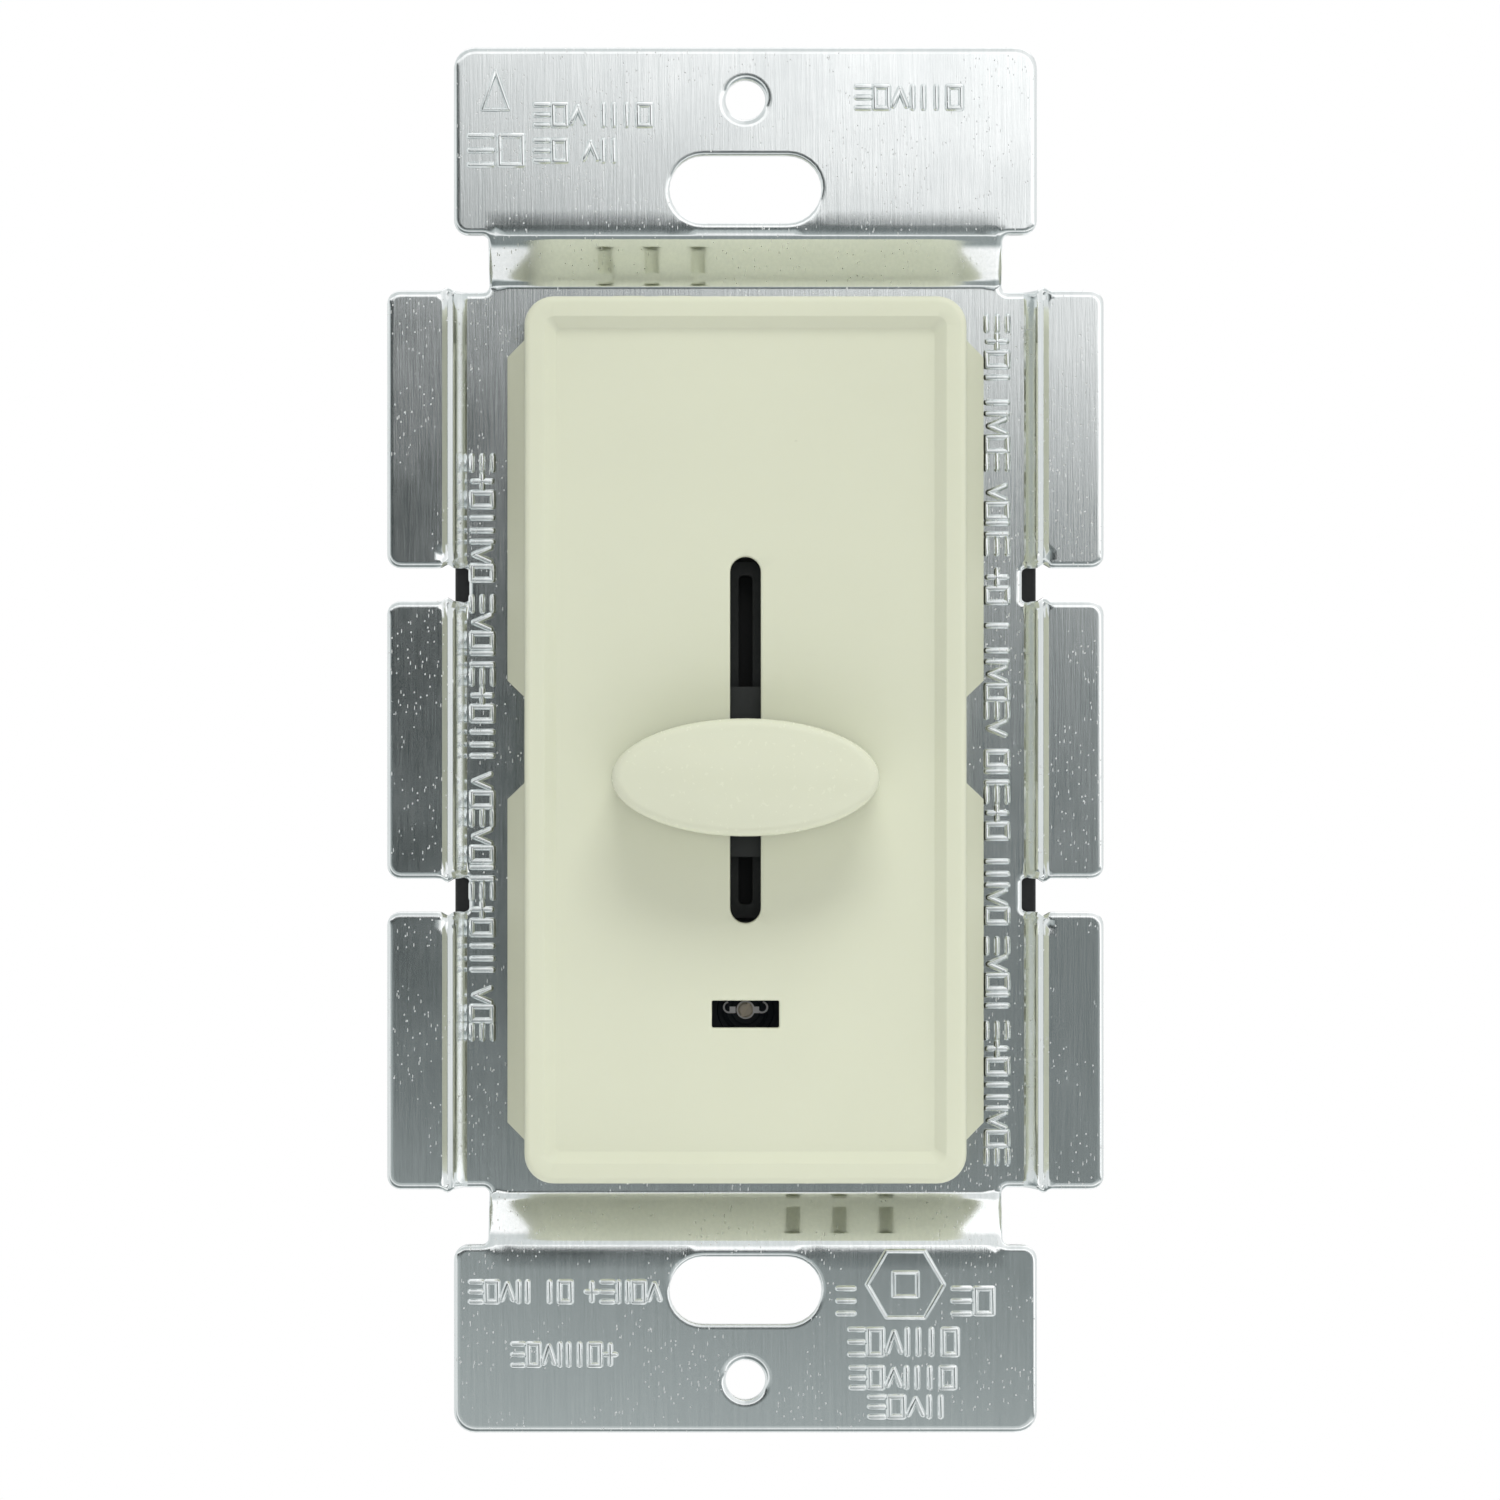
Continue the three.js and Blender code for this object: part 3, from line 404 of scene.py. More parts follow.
class Nodes:
    """Short calls for building a material or a world; an input is a value or another node's output."""

    def __init__(self, owner):
        self.owner = owner
        owner.use_nodes = True
        self.tree = owner.node_tree
        self.place = self.add("ShaderNodeTexCoord").outputs

    def put(self, socket, value):
        if isinstance(value, bpy.types.NodeSocket):
            self.tree.links.new(value, socket)
        else:
            socket.default_value = (*value, 1) if socket.type == "RGBA" else value

    def add(self, kind, inputs=(), **values):
        """A new node; its inputs are given in order, or by name or number."""
        node = self.tree.nodes.new(kind)
        for key, value in values.items():
            setattr(node, key, value)
        for key, value in inputs.items() if isinstance(inputs, dict) else enumerate(inputs):
            self.put(node.inputs[key], value)
        return node

    def stretched(self, scale, tilt=0.0):
        if not scale:
            return self.place["Object"]
        inputs = {"Vector": self.place["Object"], "Rotation": (tilt, 0, 0), "Scale": scale}
        return self.add("ShaderNodeMapping", inputs).outputs["Vector"]

    def noise(self, scale, detail=3.0, stretch=None, roughness=0.55):
        inputs = {"Vector": self.stretched(stretch), "Scale": scale, "Detail": detail, "Roughness": roughness}
        return self.add("ShaderNodeTexNoise", inputs).outputs["Fac"]

    def spots(self, scale, low, high, stretch=None):
        """1 in small round cells and 0 elsewhere; stretched spots lie in a plane facing Y."""
        inputs = {"Vector": self.stretched(stretch, pi / 2), "Scale": scale}
        cells = self.add("ShaderNodeTexVoronoi", inputs, voronoi_dimensions="2D" if stretch else "3D")
        return self.range(cells.outputs["Distance"], low, high, 1, 0)

    def range(self, value, low, high, to_low=0, to_high=1):
        return self.add("ShaderNodeMapRange", (value, low, high, to_low, to_high)).outputs["Result"]

    def maths(self, operation, *inputs):
        return self.add("ShaderNodeMath", inputs, operation=operation).outputs[0]

    def mix(self, factor, a, b):
        """A blend of two colours."""
        return self.add("ShaderNodeMix", {"Factor": factor, 6: a, 7: b}, data_type="RGBA").outputs[2]

    def clouded(self, tone, scale, share, detail=2):
        """A tone with soft clouds of a darker shade of it."""
        return self.mix(self.range(self.noise(scale, detail), 0.3, 0.7), tone, shade(tone, share))

    def set(self, **values):
        shader = self.tree.nodes["Principled BSDF"]
        for key, value in values.items():
            self.put(shader.inputs[key.replace("_", " ")], value)

    def finished(self, height, strength, distance_mm, **values):
        """The material, with a bump and the shader's values."""
        bump = {"Strength": strength, "Distance": distance_mm * MM, "Height": height}
        self.set(Normal=self.add("ShaderNodeBump", bump).outputs["Normal"], **values)
        return self.owner


def new_look(name):
    return Nodes(bpy.data.materials.new(name))


def linear(*levels):
    """A display colour from 0 to 255 as the shader's linear value."""
    shares = [level / 255 for level in levels]
    return tuple(s / 12.92 if s <= 0.04045 else ((s + 0.055) / 1.055) ** 2.4 for s in shares)


def shade(tone, share):
    return tuple(v * share for v in tone)


def brushed_aluminium():
    """Mill-finished sheet with a fine vertical grain, dull patches, and bright nicks and scratches."""
    n = new_look("strap_aluminium")
    grain = n.noise(1.0, 4, (11000, 11000, 420), 0.7)
    streaks = n.noise(1.0, 2, (3800, 3800, 110), 0.6)
    patches = n.noise(170, 4)
    nicks = n.spots(1.0, 0.03, 0.07, (1250, 1250, 900))
    scratches = n.spots(1.0, 0.03, 0.055, (1900, 1900, 330))
    some = n.range(n.noise(230, 2), 0.47, 0.56)
    nick = n.maths("MULTIPLY", n.maths("MAXIMUM", nicks, scratches), some)
    tone = n.mix(n.range(streaks, 0.3, 0.7), linear(240, 243, 243), linear(249, 251, 251))
    tone = n.mix(n.range(patches, 0.35, 0.7, 0, 0.35), tone, linear(228, 232, 233))
    tone = n.mix(nick, tone, linear(252, 252, 250))
    dull = n.maths("ADD", n.maths("MULTIPLY", grain, 0.5), n.maths("MULTIPLY", patches, 0.5))
    rough = n.maths("ADD", n.range(dull, 0.3, 0.7, 0.09, 0.15), n.maths("MULTIPLY", nick, 0.5))
    height = n.maths("ADD", n.maths("MULTIPLY", grain, 0.6), n.maths("MULTIPLY", streaks, 0.4))
    tangent = n.add("ShaderNodeTangent", direction_type="UV_MAP", uv_map="grain").outputs[0]
    return n.finished(n.maths("SUBTRACT", height, nick), 0.25, 0.015, Base_Color=tone, Roughness=rough,
                      Metallic=1.0, Anisotropic=0.8, Tangent=tangent)


def ivory_plastic(name, roughness):
    """Moulded ivory with a very slight grain and a few dark specks."""
    n = new_look(name)
    grain = n.noise(2600, 2)
    specks = n.maths("MULTIPLY", n.spots(330, 0.06, 0.09), n.range(n.noise(140, 1), 0.64, 0.66))
    colour = n.mix(specks, n.clouded(linear(208, 211, 189), 45, 0.965), linear(96, 92, 70))
    rough = n.range(grain, 0.3, 0.7, roughness - 0.03, roughness + 0.04)
    return n.finished(grain, 0.08, 0.02, Base_Color=colour, Roughness=rough, IOR=1.47, Subsurface_Weight=0.06,
                      Subsurface_Scale=0.001, Subsurface_Radius=(1.0, 0.9, 0.6))


def moulded_plastic(name, tone, roughness, grain_mm, strength):
    """Dark or coloured moulded plastic with a sparked texture."""
    n = new_look(name)
    grain = n.noise(1 / (grain_mm * MM), 3)
    return n.finished(grain, strength, 0.02, Base_Color=n.clouded(tone, 80, 0.8),
                      Roughness=n.range(grain, 0.3, 0.7, roughness - 0.06, roughness + 0.08))


def plated_metal(name, tone, roughness, streak=(900, 900, 900)):
    """Bright or dull plating with faint handling marks."""
    n = new_look(name)
    marks = n.noise(1.0, 3, streak)
    return n.finished(marks, 0.15, 0.01, Base_Color=n.clouded(tone, 300, 0.82), Metallic=1.0,
                      Roughness=n.range(marks, 0.3, 0.7, roughness - 0.06, roughness + 0.1))


def laminate(name, tone, fibre):
    """Sheet material with a fine fibre in it."""
    n = new_look(name)
    threads = n.noise(1.0, 4, fibre)
    colour = n.mix(n.range(threads, 0.35, 0.7, 0, 0.5), n.clouded(tone, 120, 0.75, 3), shade(tone, 0.55))
    return n.finished(threads, 0.3, 0.03, Base_Color=colour, Roughness=n.range(threads, 0.3, 0.7, 0.55, 0.75))


def banded(name, tone, bands):
    """A body with colour bands across X; each band is its centre and half width in mm, and a colour."""
    n = new_look(name)
    x = n.add("ShaderNodeSeparateXYZ", (n.place["Object"],)).outputs["X"]
    colour = n.clouded(tone, 400, 0.88)
    for centre, half_width, band in bands:
        away = n.maths("ABSOLUTE", n.maths("SUBTRACT", x, centre * MM))
        colour = n.mix(n.range(away, half_width * MM, (half_width + 0.04) * MM, 1, 0), colour, band)
    return n.finished(n.noise(900, 2), 0.1, 0.02, Base_Color=colour, Roughness=0.3)


PLASTICS = {  # and the trimmer's small metal parts drawn matt, near-white as painted glints: tone, roughness, grain in mm and its strength
    "guide_black": (linear(24, 27, 27), 0.5, 0.3, 0.1),
    "carriage_black": (linear(26, 29, 29), 0.42, 0.5, 0.08),
    "housing_black": (linear(32, 33, 34), 0.52, 0.28, 0.35),
    "trimmer_black": (linear(30, 37, 40), 0.4, 0.25, 0.3),
    # the trimmer's post and contacts are metal; their pale matt tones are painted glints and painted light
    # that brighten the shade inside the window
    "trimmer_post": (linear(246, 236, 214), 0.45, 0.2, 0.5),
    "trimmer_silver": (linear(254, 254, 252), 0.3, 0.25, 0.3),
    "choke_ferrite": ((0.68, 0.53, 0.04), 0.5, 0.3, 0.35),
    "film_yellow": ((0.7, 0.45, 0.05), 0.38, 0.5, 0.12),
    "timing_red": ((0.32, 0.035, 0.015), 0.25, 1.2, 0.15),
    "pot_slider": ((0.74, 0.74, 0.7), 0.45, 0.3, 0.15),
    "triac_black": ((0.018, 0.018, 0.018), 0.55, 0.22, 0.4),
    "switch_black": ((0.015, 0.015, 0.016), 0.5, 0.3, 0.3),
    "plunger_white": ((0.72, 0.72, 0.68), 0.42, 0.3, 0.15),
}
METALS = {  # tone, roughness and the scale of the handling marks
    "screw_steel": ((0.58, 0.58, 0.59), 0.3),
    "tinned_metal": ((0.66, 0.66, 0.65), 0.35),
    "choke_copper": ((0.4, 0.1, 0.02), 0.24),
    "pot_steel": ((0.52, 0.52, 0.52), 0.34, (500, 500, 1600)),
    "spring_bronze": ((0.5, 0.33, 0.15), 0.28, (700, 700, 2400)),
    "rivet_aluminium": ((0.68, 0.69, 0.7), 0.4),
}
CARBON = (0.008, 0.009, 0.009)
LOOKS = {
    "strap_aluminium": brushed_aluminium(),
    "face_ivory": ivory_plastic("face_ivory", 0.42),
    "knob_ivory": ivory_plastic("knob_ivory", 0.24),
    "fish_paper": laminate("fish_paper", (0.09, 0.1, 0.085), (600, 600, 2600)),
    "board_laminate": laminate("board_laminate", (0.42, 0.25, 0.09), (900, 900, 2200)),
    "pot_phenolic": banded("pot_phenolic", (0.16, 0.07, 0.025),
                           [(0, 0.9, CARBON), (-2.3, 0.5, CARBON), (2.3, 0.5, CARBON)]),
    **{name: moulded_plastic(name, *values) for name, values in PLASTICS.items()},
    **{name: plated_metal(name, *values) for name, values in METALS.items()},
}


# ---- mounting strap

STROKE = Sizes(width=0.5, height=0.18)
DOME = ((1.0, -0.12), (0.92, 0.14), (0.56, 0.78), (0.34, 0.97), (0.1, 1.0))  # shares of width and height
GLYPHS = {  # plain marks, never letters, as strokes in a unit square
    "ticks": [((0.1, 0), (0.1, 1)), ((0.9, 0), (0.9, 1))],
    "dashes": [((0, 1), (1, 1)), ((0, 0.5), (1, 0.5)), ((0, 0), (1, 0))],
    "box": [((0, 0), (1, 0)), ((1, 0), (1, 1)), ((1, 1), (0, 1)), ((0, 1), (0, 0))],
    "chevron": [((0, 0.1), (0.5, 0.9)), ((0.5, 0.9), (1, 0.1))],
    "bar": [((0.5, 0), (0.5, 1))],
    "cross": [((0.5, 0.05), (0.5, 0.95)), ((0, 0.5), (1, 0.5))],
}
GLYPH_ORDER = "dashes box chevron ticks bar box cross dashes ticks box chevron".split()
STAMPED_ROWS = (  # start, words as numbers of marks, size of a mark, gap after each
    ((-20.9, 43.5), (2,), (1.75, 2.2), 0.55),
    ((-15.9, 46.5), (3, 3), (1.0, 1.55), 0.36),
    ((-15.9, 43.8), (2, 2), (1.0, 1.55), 0.36),
    ((8.4, 47.8), (6,), (1.02, 1.6), 0.36),
    ((-20.8, -42.5), (4, 2, 5), (0.86, 1.5), 0.32),
    ((-17.6, -47.3), (7,), (0.82, 1.6), 0.34),
    ((7.0, -43.4), (1,), (1.2, 1.9), 0.3),
    ((15.7, -43.4), (2,), (1.3, 1.9), 0.4),
    ((7.9, -46.5), (6,), (1.05, 1.9), 0.36),
    ((8.0, -49.0), (6,), (1.0, 1.5), 0.36),
    ((9.4, -51.2), (4,), (1.1, 1.5), 0.36),
)
UPRIGHT_ROWS = (
    ((-19.2, -22.7), (3, 11, 9, 7), (1.06, 1.6), 0.33),
    ((19.9, -32.2), (8, 4, 4, 5, 5, 1, 2, 4, 4, 4), (1.06, 1.6), 0.31),
)
OUTLINE_MARKS = (  # corners and width of stroke
    ([(-19.9, 47.7), (-17.9, 47.7), (-18.9, 50.6)], 0.36),
    (circle(12.1, -41.2, 2.9, 6), 0.4),
    ([(11.2, -42.1), (13.0, -42.1), (13.0, -40.3), (11.2, -40.3)], 0.4),
)


def strap_surface(x, z, level, bends):
    """A side of the sheet: ears and fins forward, plate behind, a 45 degree web and a joggle between."""
    x, z = abs(x), abs(z)
    place, (start, stop), kind = (z, WEB.slope, "web") if in_ear(z) else (x, FIN.joggle, "fin")
    lag = bends[kind + "_lag"]
    return level - FORWARD * ramp(place, start + lag, stop + lag, bends[kind])


def in_ear(z):
    return z > PLATE.top + 0.35


def strap_front(x, z):
    groove = max(0.0, 1 - abs(abs(x) - SCORE.x) / SCORE.half_width)
    return strap_surface(x, z, PLATE.front, FRONT_BENDS) + SCORE.depth * groove


def strap_back(x, z):
    return strap_surface(x, z, PLATE.front + SHEET, BACK_BENDS)


def strap_outline():
    """Anticlockwise, from the lower ear's right side up; the left side mirrors it."""
    upper = [
        (FIN.outer, NOTCH.low, FIN.corner),
        (PLATE.half_width, NOTCH.low, 0.3),
        (PLATE.half_width, NOTCH.high, 0.3),
        (FIN.outer, NOTCH.high, FIN.corner),
        (FIN.outer, PLATE.top, FIN.corner),
        (WEB.half_width, PLATE.top, 0.5),
        (WEB.half_width, EAR.bottom, 0.5),
        (EAR.half_width, EAR.bottom, 1.1),
        (EAR.half_width, EAR.top, EAR.corner),
    ]
    right = [(x, -z, r) for x, z, r in reversed(upper)] + upper
    left = [(-x, z, r) for x, z, r in reversed(right)]
    return [bulged(x, z) for x, z in split_at(refined(rounded(right + left), 0.3), groove_columns())]


def groove_columns():
    """Where the score line's section changes, so that the mesh follows it."""
    return [SCORE.x + SCORE.half_width * share for share in (-1.1, -1, -0.5, -0.03, 0.03, 0.5, 1, 1.1)]


def split_at(points, columns):
    """The same outline with a point wherever a side crosses a column, on the right or the left."""
    out = []
    for a, b in zip(points, points[1:] + points[:1]):
        out.append(a)
        low, high = sorted((a[0], b[0]))
        crossed = [x for column in columns for x in (column, -column) if low < x < high]
        for x in sorted(crossed, reverse=b[0] < a[0]):
            if min(x - low, high - x) > 0.02:
                out.append((x, a[1] + (b[1] - a[1]) * (x - a[0]) / (b[0] - a[0])))
    return out


def bulged(x, z):
    """The score line pushes the fins' cut edges out a little where it crosses them."""
    away = (abs(x) - SCORE.x) / SCORE.half_width
    for edge, outward in ((PLATE.top, 1), (NOTCH.high, -1), (NOTCH.low, 1)):
        if abs(away) <= 1.6 and abs(abs(z) - edge) < 0.05:
            return x, z + copysign(outward * SCORE.bulge * exp(-(away ** 2) * 1.6), z)
    return x, z


def strap_inner_points():
    """Points that follow the bends closely and the flats loosely."""
    points = []
    for x in np.concatenate([np.arange(21.05, 22.0, 0.11), groove_columns(), np.arange(23.6, 26.8, 1.2)]):
        for z in np.arange(-33.8, 33.81, 0.65):
            points += [(x, z), (-x, z)]
    for z in np.concatenate([np.arange(33.6, 38.3, 0.16), np.arange(39.0, 52.2, 1.1)]):
        for x in np.arange(-21.6, 21.61, 0.9):
            points += [(x, z), (x, -z)]
    return points + grid(-20.4, 20.4, -33, 33, 1.7)


def strap_holes():
    """Each hole's outline with the radius that its edge is rounded to."""
    holes = []
    for side in (1, -1):
        holes.append((circle(0, side * PLATE_SCREW.z, PLATE_SCREW.radius), 0.38))
        holes.append((stadium(0, side * BOX_SLOT.z, BOX_SLOT.length, BOX_SLOT.width), 0.2))
        holes += [(circle(x, side * BOSS.z, 1.5, 20), PUNCHED_EDGE) for x in BOSS.x]
        hooks = (-HOOK.x, HOOK.x)
        holes += [(centred(x, side * HOOK.z, 1, 2.8, 0.3, 3), PUNCHED_EDGE) for x in hooks]
    slider_slot = centred(0, 0, 3, 14.4, 0.8, 4)
    trimmer_hole = centred(0, WINDOW.z, 2.9, 2.2, 0.6, 4)
    round_hole = circle(11.5, 16.6, 1.8, 20)
    return holes + [(loop, PUNCHED_EDGE) for loop in (slider_slot, trimmer_hole, round_hole)]


def raised_bar(build, start, stop, width):
    """A stamped stroke: a round-ended bar with a domed top, standing on the strap's front."""
    a, b = Vector(start), Vector(stop)
    turn = degrees(atan2((b - a).y, (b - a).x))
    rings = []
    for share, lift in DOME:
        radius = width / 2 * share
        outline = arc(b, radius, turn - 90, turn + 90, 5) + arc(a, radius, turn + 90, turn + 270, 5)
        rings.append(build.level(outline, strap_front, -STROKE.height * lift))
    build.closed(rings)


def stamped_row(build, across, start, words, size, gap):
    """A row of marks, with a space after each word."""
    across = Vector(across)
    up = Vector((-across.y, across.x))
    width, height = size
    place = Vector(start)
    count = 0
    for word in words:
        for _ in range(word):
            for stroke in GLYPHS[GLYPH_ORDER[count % len(GLYPH_ORDER)]]:
                a, b = [place + across * (u * width) + up * (v * height) for u, v in stroke]
                raised_bar(build, a, b, STROKE.width)
            place += across * (width + gap)
            count += 1
        place += across * (width * 0.6 + gap)


def strap_marks(build):
    """Rows of plain stamped marks and plain symbols in place of the strap's markings."""
    for row in STAMPED_ROWS:
        stamped_row(build, (1, 0), *row)
    for row in UPRIGHT_ROWS:
        stamped_row(build, (0, 1), *row)
    for corners, width in OUTLINE_MARKS:
        for a, b in zip(corners, corners[1:] + corners[:1]):
            raised_bar(build, a, b, width)


def lay_grain(mesh):
    """A flat UV map whose first axis runs along X, across the brushed grain."""
    layer = mesh.uv_layers.new(name="grain")
    coords = np.zeros(len(mesh.vertices) * 3)
    mesh.vertices.foreach_get("co", coords)
    coords = coords.reshape(-1, 3)[:, (0, 2)]
    corners = np.zeros(len(mesh.loops), int)
    mesh.loops.foreach_get("vertex_index", corners)
    layer.data.foreach_set("uv", (coords[corners] * 10 + 0.5).ravel())


def make_strap():
    build = Build()
    holes = [(hole(refined(loop, 0.5)), edge) for loop, edge in strap_holes()]
    build.sheet([(strap_outline(), STRAP_EDGE)] + holes, strap_front, strap_back, strap_inner_points())
    strap_marks(build)
    strap = build.piece("strap", "strap_aluminium", ("mounting_strap",), 28)
    lay_grain(strap.data)


# ---- face frame

def frame_ring(build, from_edge, y, radius):
    half_width, half_height = FACE.half_width - from_edge, FACE.half_height - from_edge
    return build.level(centred(0, 0, half_width, half_height, radius, 8), y)


def make_face():
    """A hollow shell with a rounded rim, a sunk panel, two openings, wings, a latch lip, hooks and vents."""
    build = Build()
    front, back, corner, edge = FACE.front, FACE.back, FACE.corner, FACE.edge
    slope_start, slope_end = RIM.width, RIM.width + RIM.slope
    profile = [(WALL, back, 0.7), (0.12, back, corner - 0.1), (0, back - 0.12, corner)]
    for across, rise in quarter(edge):
        profile.append((FACE.draft + across, front + edge - rise, corner - across * 0.9))
    profile += [
        (slope_start - 0.08, front, 0.75),
        (slope_start + 0.02, front + 0.05, 0.68),
        (slope_end - 0.06, PANEL.front - 0.05, 0.35),
        (slope_end + 0.06, PANEL.front, 0.3),
    ]
    rings = [frame_ring(build, *row) for row in profile]
    build.skin(rings)
    inside = frame_ring(build, WALL, PANEL.back, 0.7)
    build.bridge(inside, rings[0])
    shown, hidden = [rings[-1]], [inside]
    for opening in (
        stadium(0, 0, SLOT.length, SLOT.width, True, 16),
        centred(0, WINDOW.z, WINDOW.width / 2, WINDOW.height / 2, 0.12, 3),
    ):
        loop = hole(opening)
        soft = quarter(0.14, 3)
        rings = [build.level(inset(loop, across), PANEL.front + 0.14 - rise) for across, rise in soft]
        hidden.append(build.level(loop, PANEL.back))
        build.skin([hidden[-1]] + rings)
        shown.append(rings[-1])
    build.fill(shown, grid(-13, 13, -30, 30, 3.2), PANEL.front)
    build.fill(hidden, grid(-13, 13, -30, 30, 4), PANEL.back)
    add_wings(build)
    top = FACE.half_height
    build.box((-10, -4), (-0.2, back - 0.02), (top - 1, top + 0.3), 0.1)
    add_hooks(build)
    build.piece("face_plate", "face_ivory", ("face_frame",), 30, vent_cutter())


def add_wings(build):
    inner, outer, wall = WING.inner, WING.outer, FACE.half_width
    front, back = WING.front, FACE.back - 0.02
    slope = (WING.edge - front) / (outer - wall)
    stations = (
        (WING.low, wall + 0.02),
        (WING.low + WING.chamfer, outer),
        (WING.high - WING.chamfer, outer),
        (WING.high, wall + 0.02),
    )
    for side_x, side_z in CORNERS:
        rings = []
        for z, reach in stations:
            slanted = front + slope * (reach - wall)
            section = [(inner, back), (reach, back), (reach, slanted), (wall, front), (inner, front)]
            rings.append([(side_x * x, y, side_z * z) for x, y in section])
        build.prism(rings, 0.1)


def add_hooks(build):
    root = PANEL.back - 0.4
    section = [(14, root), (15.4, root), (15.4, 3.2), (16.35, 3.25), (15.3, 4.55), (14, 4.55)]
    for side_x, side_z in CORNERS:
        ends = (side_z * HOOK.z - 2.5, side_z * HOOK.z + 2.5)
        build.prism([[(side_x * x, y, z) for x, y in section] for z in ends], 0.1)


def vent_cutter():
    """Three slots in the top wall on the left and three in the bottom wall on the right."""
    build = Build()
    half = VENT.width / 2
    for side in (1, -1):
        z = sorted((side * (FACE.half_height - VENT.depth), side * (FACE.half_height + 1)))
        for i in range(VENT.count):
            x = -side * (VENT.first + i * VENT.pitch)
            build.box((x - half, x + half), (VENT.front, VENT.back), z)
    return build


# ---- slider

def make_knob():
    """An oval cap with a soft edge and a slightly domed top, and two ribs inside that grip the stem."""
    build = Build()
    front, back, edge, crown, wall = KNOB_LOW.y, KNOB_HIGH.y, KNOB.edge, KNOB.crown, KNOB.wall

    def ring(from_edge, y, share=1):
        half_width, half_height = KNOB.half_width - from_edge, KNOB.half_height - from_edge
        return build.level(ellipse(half_width * share, half_height * share, KNOB.z), y)

    rings = [ring(wall, back), ring(0.15, back), ring(0.05, back - 0.1), ring(0.02, back - 0.6)]
    rings += [ring(across, front + crown + edge - rise) for across, rise in quarter(edge, 8)]
    for i in range(1, 15):
        share = 1 - i / 15
        rings.append(ring(edge, front + crown * (share ** 2), share))
    centre = build.ring([(0, front, KNOB.z)])[0]
    build.skin(rings)
    last = rings[-1]
    for i in range(len(last)):
        build.bm.faces.new((last[i], last[(i + 1) % len(last)], centre))
    inside = ring(wall + 0.1, front + 2.2)
    build.bridge(inside, rings[0])
    build.bm.faces.new(inside)
    for x in (-1.9, 1.3):
        build.box((x, x + 0.6), (front + 1.6, back - 0.05), (KNOB.z - 3.0, KNOB.z + 3.0), 0.08)
    build.piece("knob_cap", "knob_ivory", ("slide_knob",), 60, body="slider")


def make_carriage():
    """A shield that keeps the slot dark, and a ribbed stem for the knob."""
    build = Build()
    wide, narrow = SHIELD.half_width, STEM.half_width
    z = (KNOB.z - STEM.half_height, KNOB.z + STEM.half_height)
    build.box((-wide, wide), (SHIELD.front, SHIELD.back), (SHIELD_LOW.z, SHIELD_HIGH.z), 0.14)
    build.box((-narrow, narrow), (STEM.front, SHIELD.front + 0.3), z, 0.12)
    for x in (-narrow, narrow - 0.3):
        build.box((x, x + 0.3), (-9.4, -7.2), z, 0.05)
    build.piece("carriage", "carriage_black", ("slider_carriage",), 40, body="slider")


def make_guide():
    """A shallow tray behind the slot, with a groove, a slit for the lever, a window and four pegs."""
    build = Build()
    half, low, high = GUIDE.half_width, GUIDE_LOW.z, GUIDE_HIGH.z
    groove_half, groove_end = GUIDE.groove_half, GUIDE.groove_end

    def front(x, z):
        inside = max(abs(x) - groove_half, abs(z) - groove_end)
        return GUIDE.front + GUIDE.groove * ramp(-inside, -0.06, 0.06, (0.02, 0.02))

    outlines = [
        (refined(rectangle(-half, half, low, high, 0.8, 4), 2.0), 0.15),
        (hole(centred(0, 0, 0.5, 12.4, 0.3, 3)), 0.06),
        (hole(centred(0, WINDOW.z, 3.4, 2.3, 0.3, 3)), 0.06),
    ]
    points = grid(-7.6, 7.6, -24, 17.6, 1.9)
    for off in (-0.12, -0.04, 0.04, 0.12):
        for z in np.arange(-13.4, 13.41, 0.7):
            points += [(groove_half + off, z), (-groove_half - off, z)]
        for x in np.arange(-1.35, 1.36, 0.3):
            points += [(x, groove_end + off), (x, -groove_end - off)]
    build.sheet(outlines, front, GUIDE.back, points)
    for x in (-half, half - 1.4):
        build.box((x, x + 1.4), (-1.2, 1.4), (low + 0.1, high - 0.1), 0.1)
    for z in (low + 0.05, high - 1.45):
        build.box((0.1 - half, half - 0.1), (-1.2, 1.39), (z, z + 1.4), 0.1)
    for x in (-7.2, 7.2):
        for z in (low + 1.6, high - 1.6):
            build.turned([(0.0, -4.7), (0.75, -4.7), (0.9, -4.55), (0.9, -1.0), (0, -1.0)], (x, z), 20)
    build.piece("guide", "guide_black", ("slider_guide",), 35)


# ---- trimmer behind the window

TRIMMER_BORE = 0.9
TRIMMER_POST = 0.57


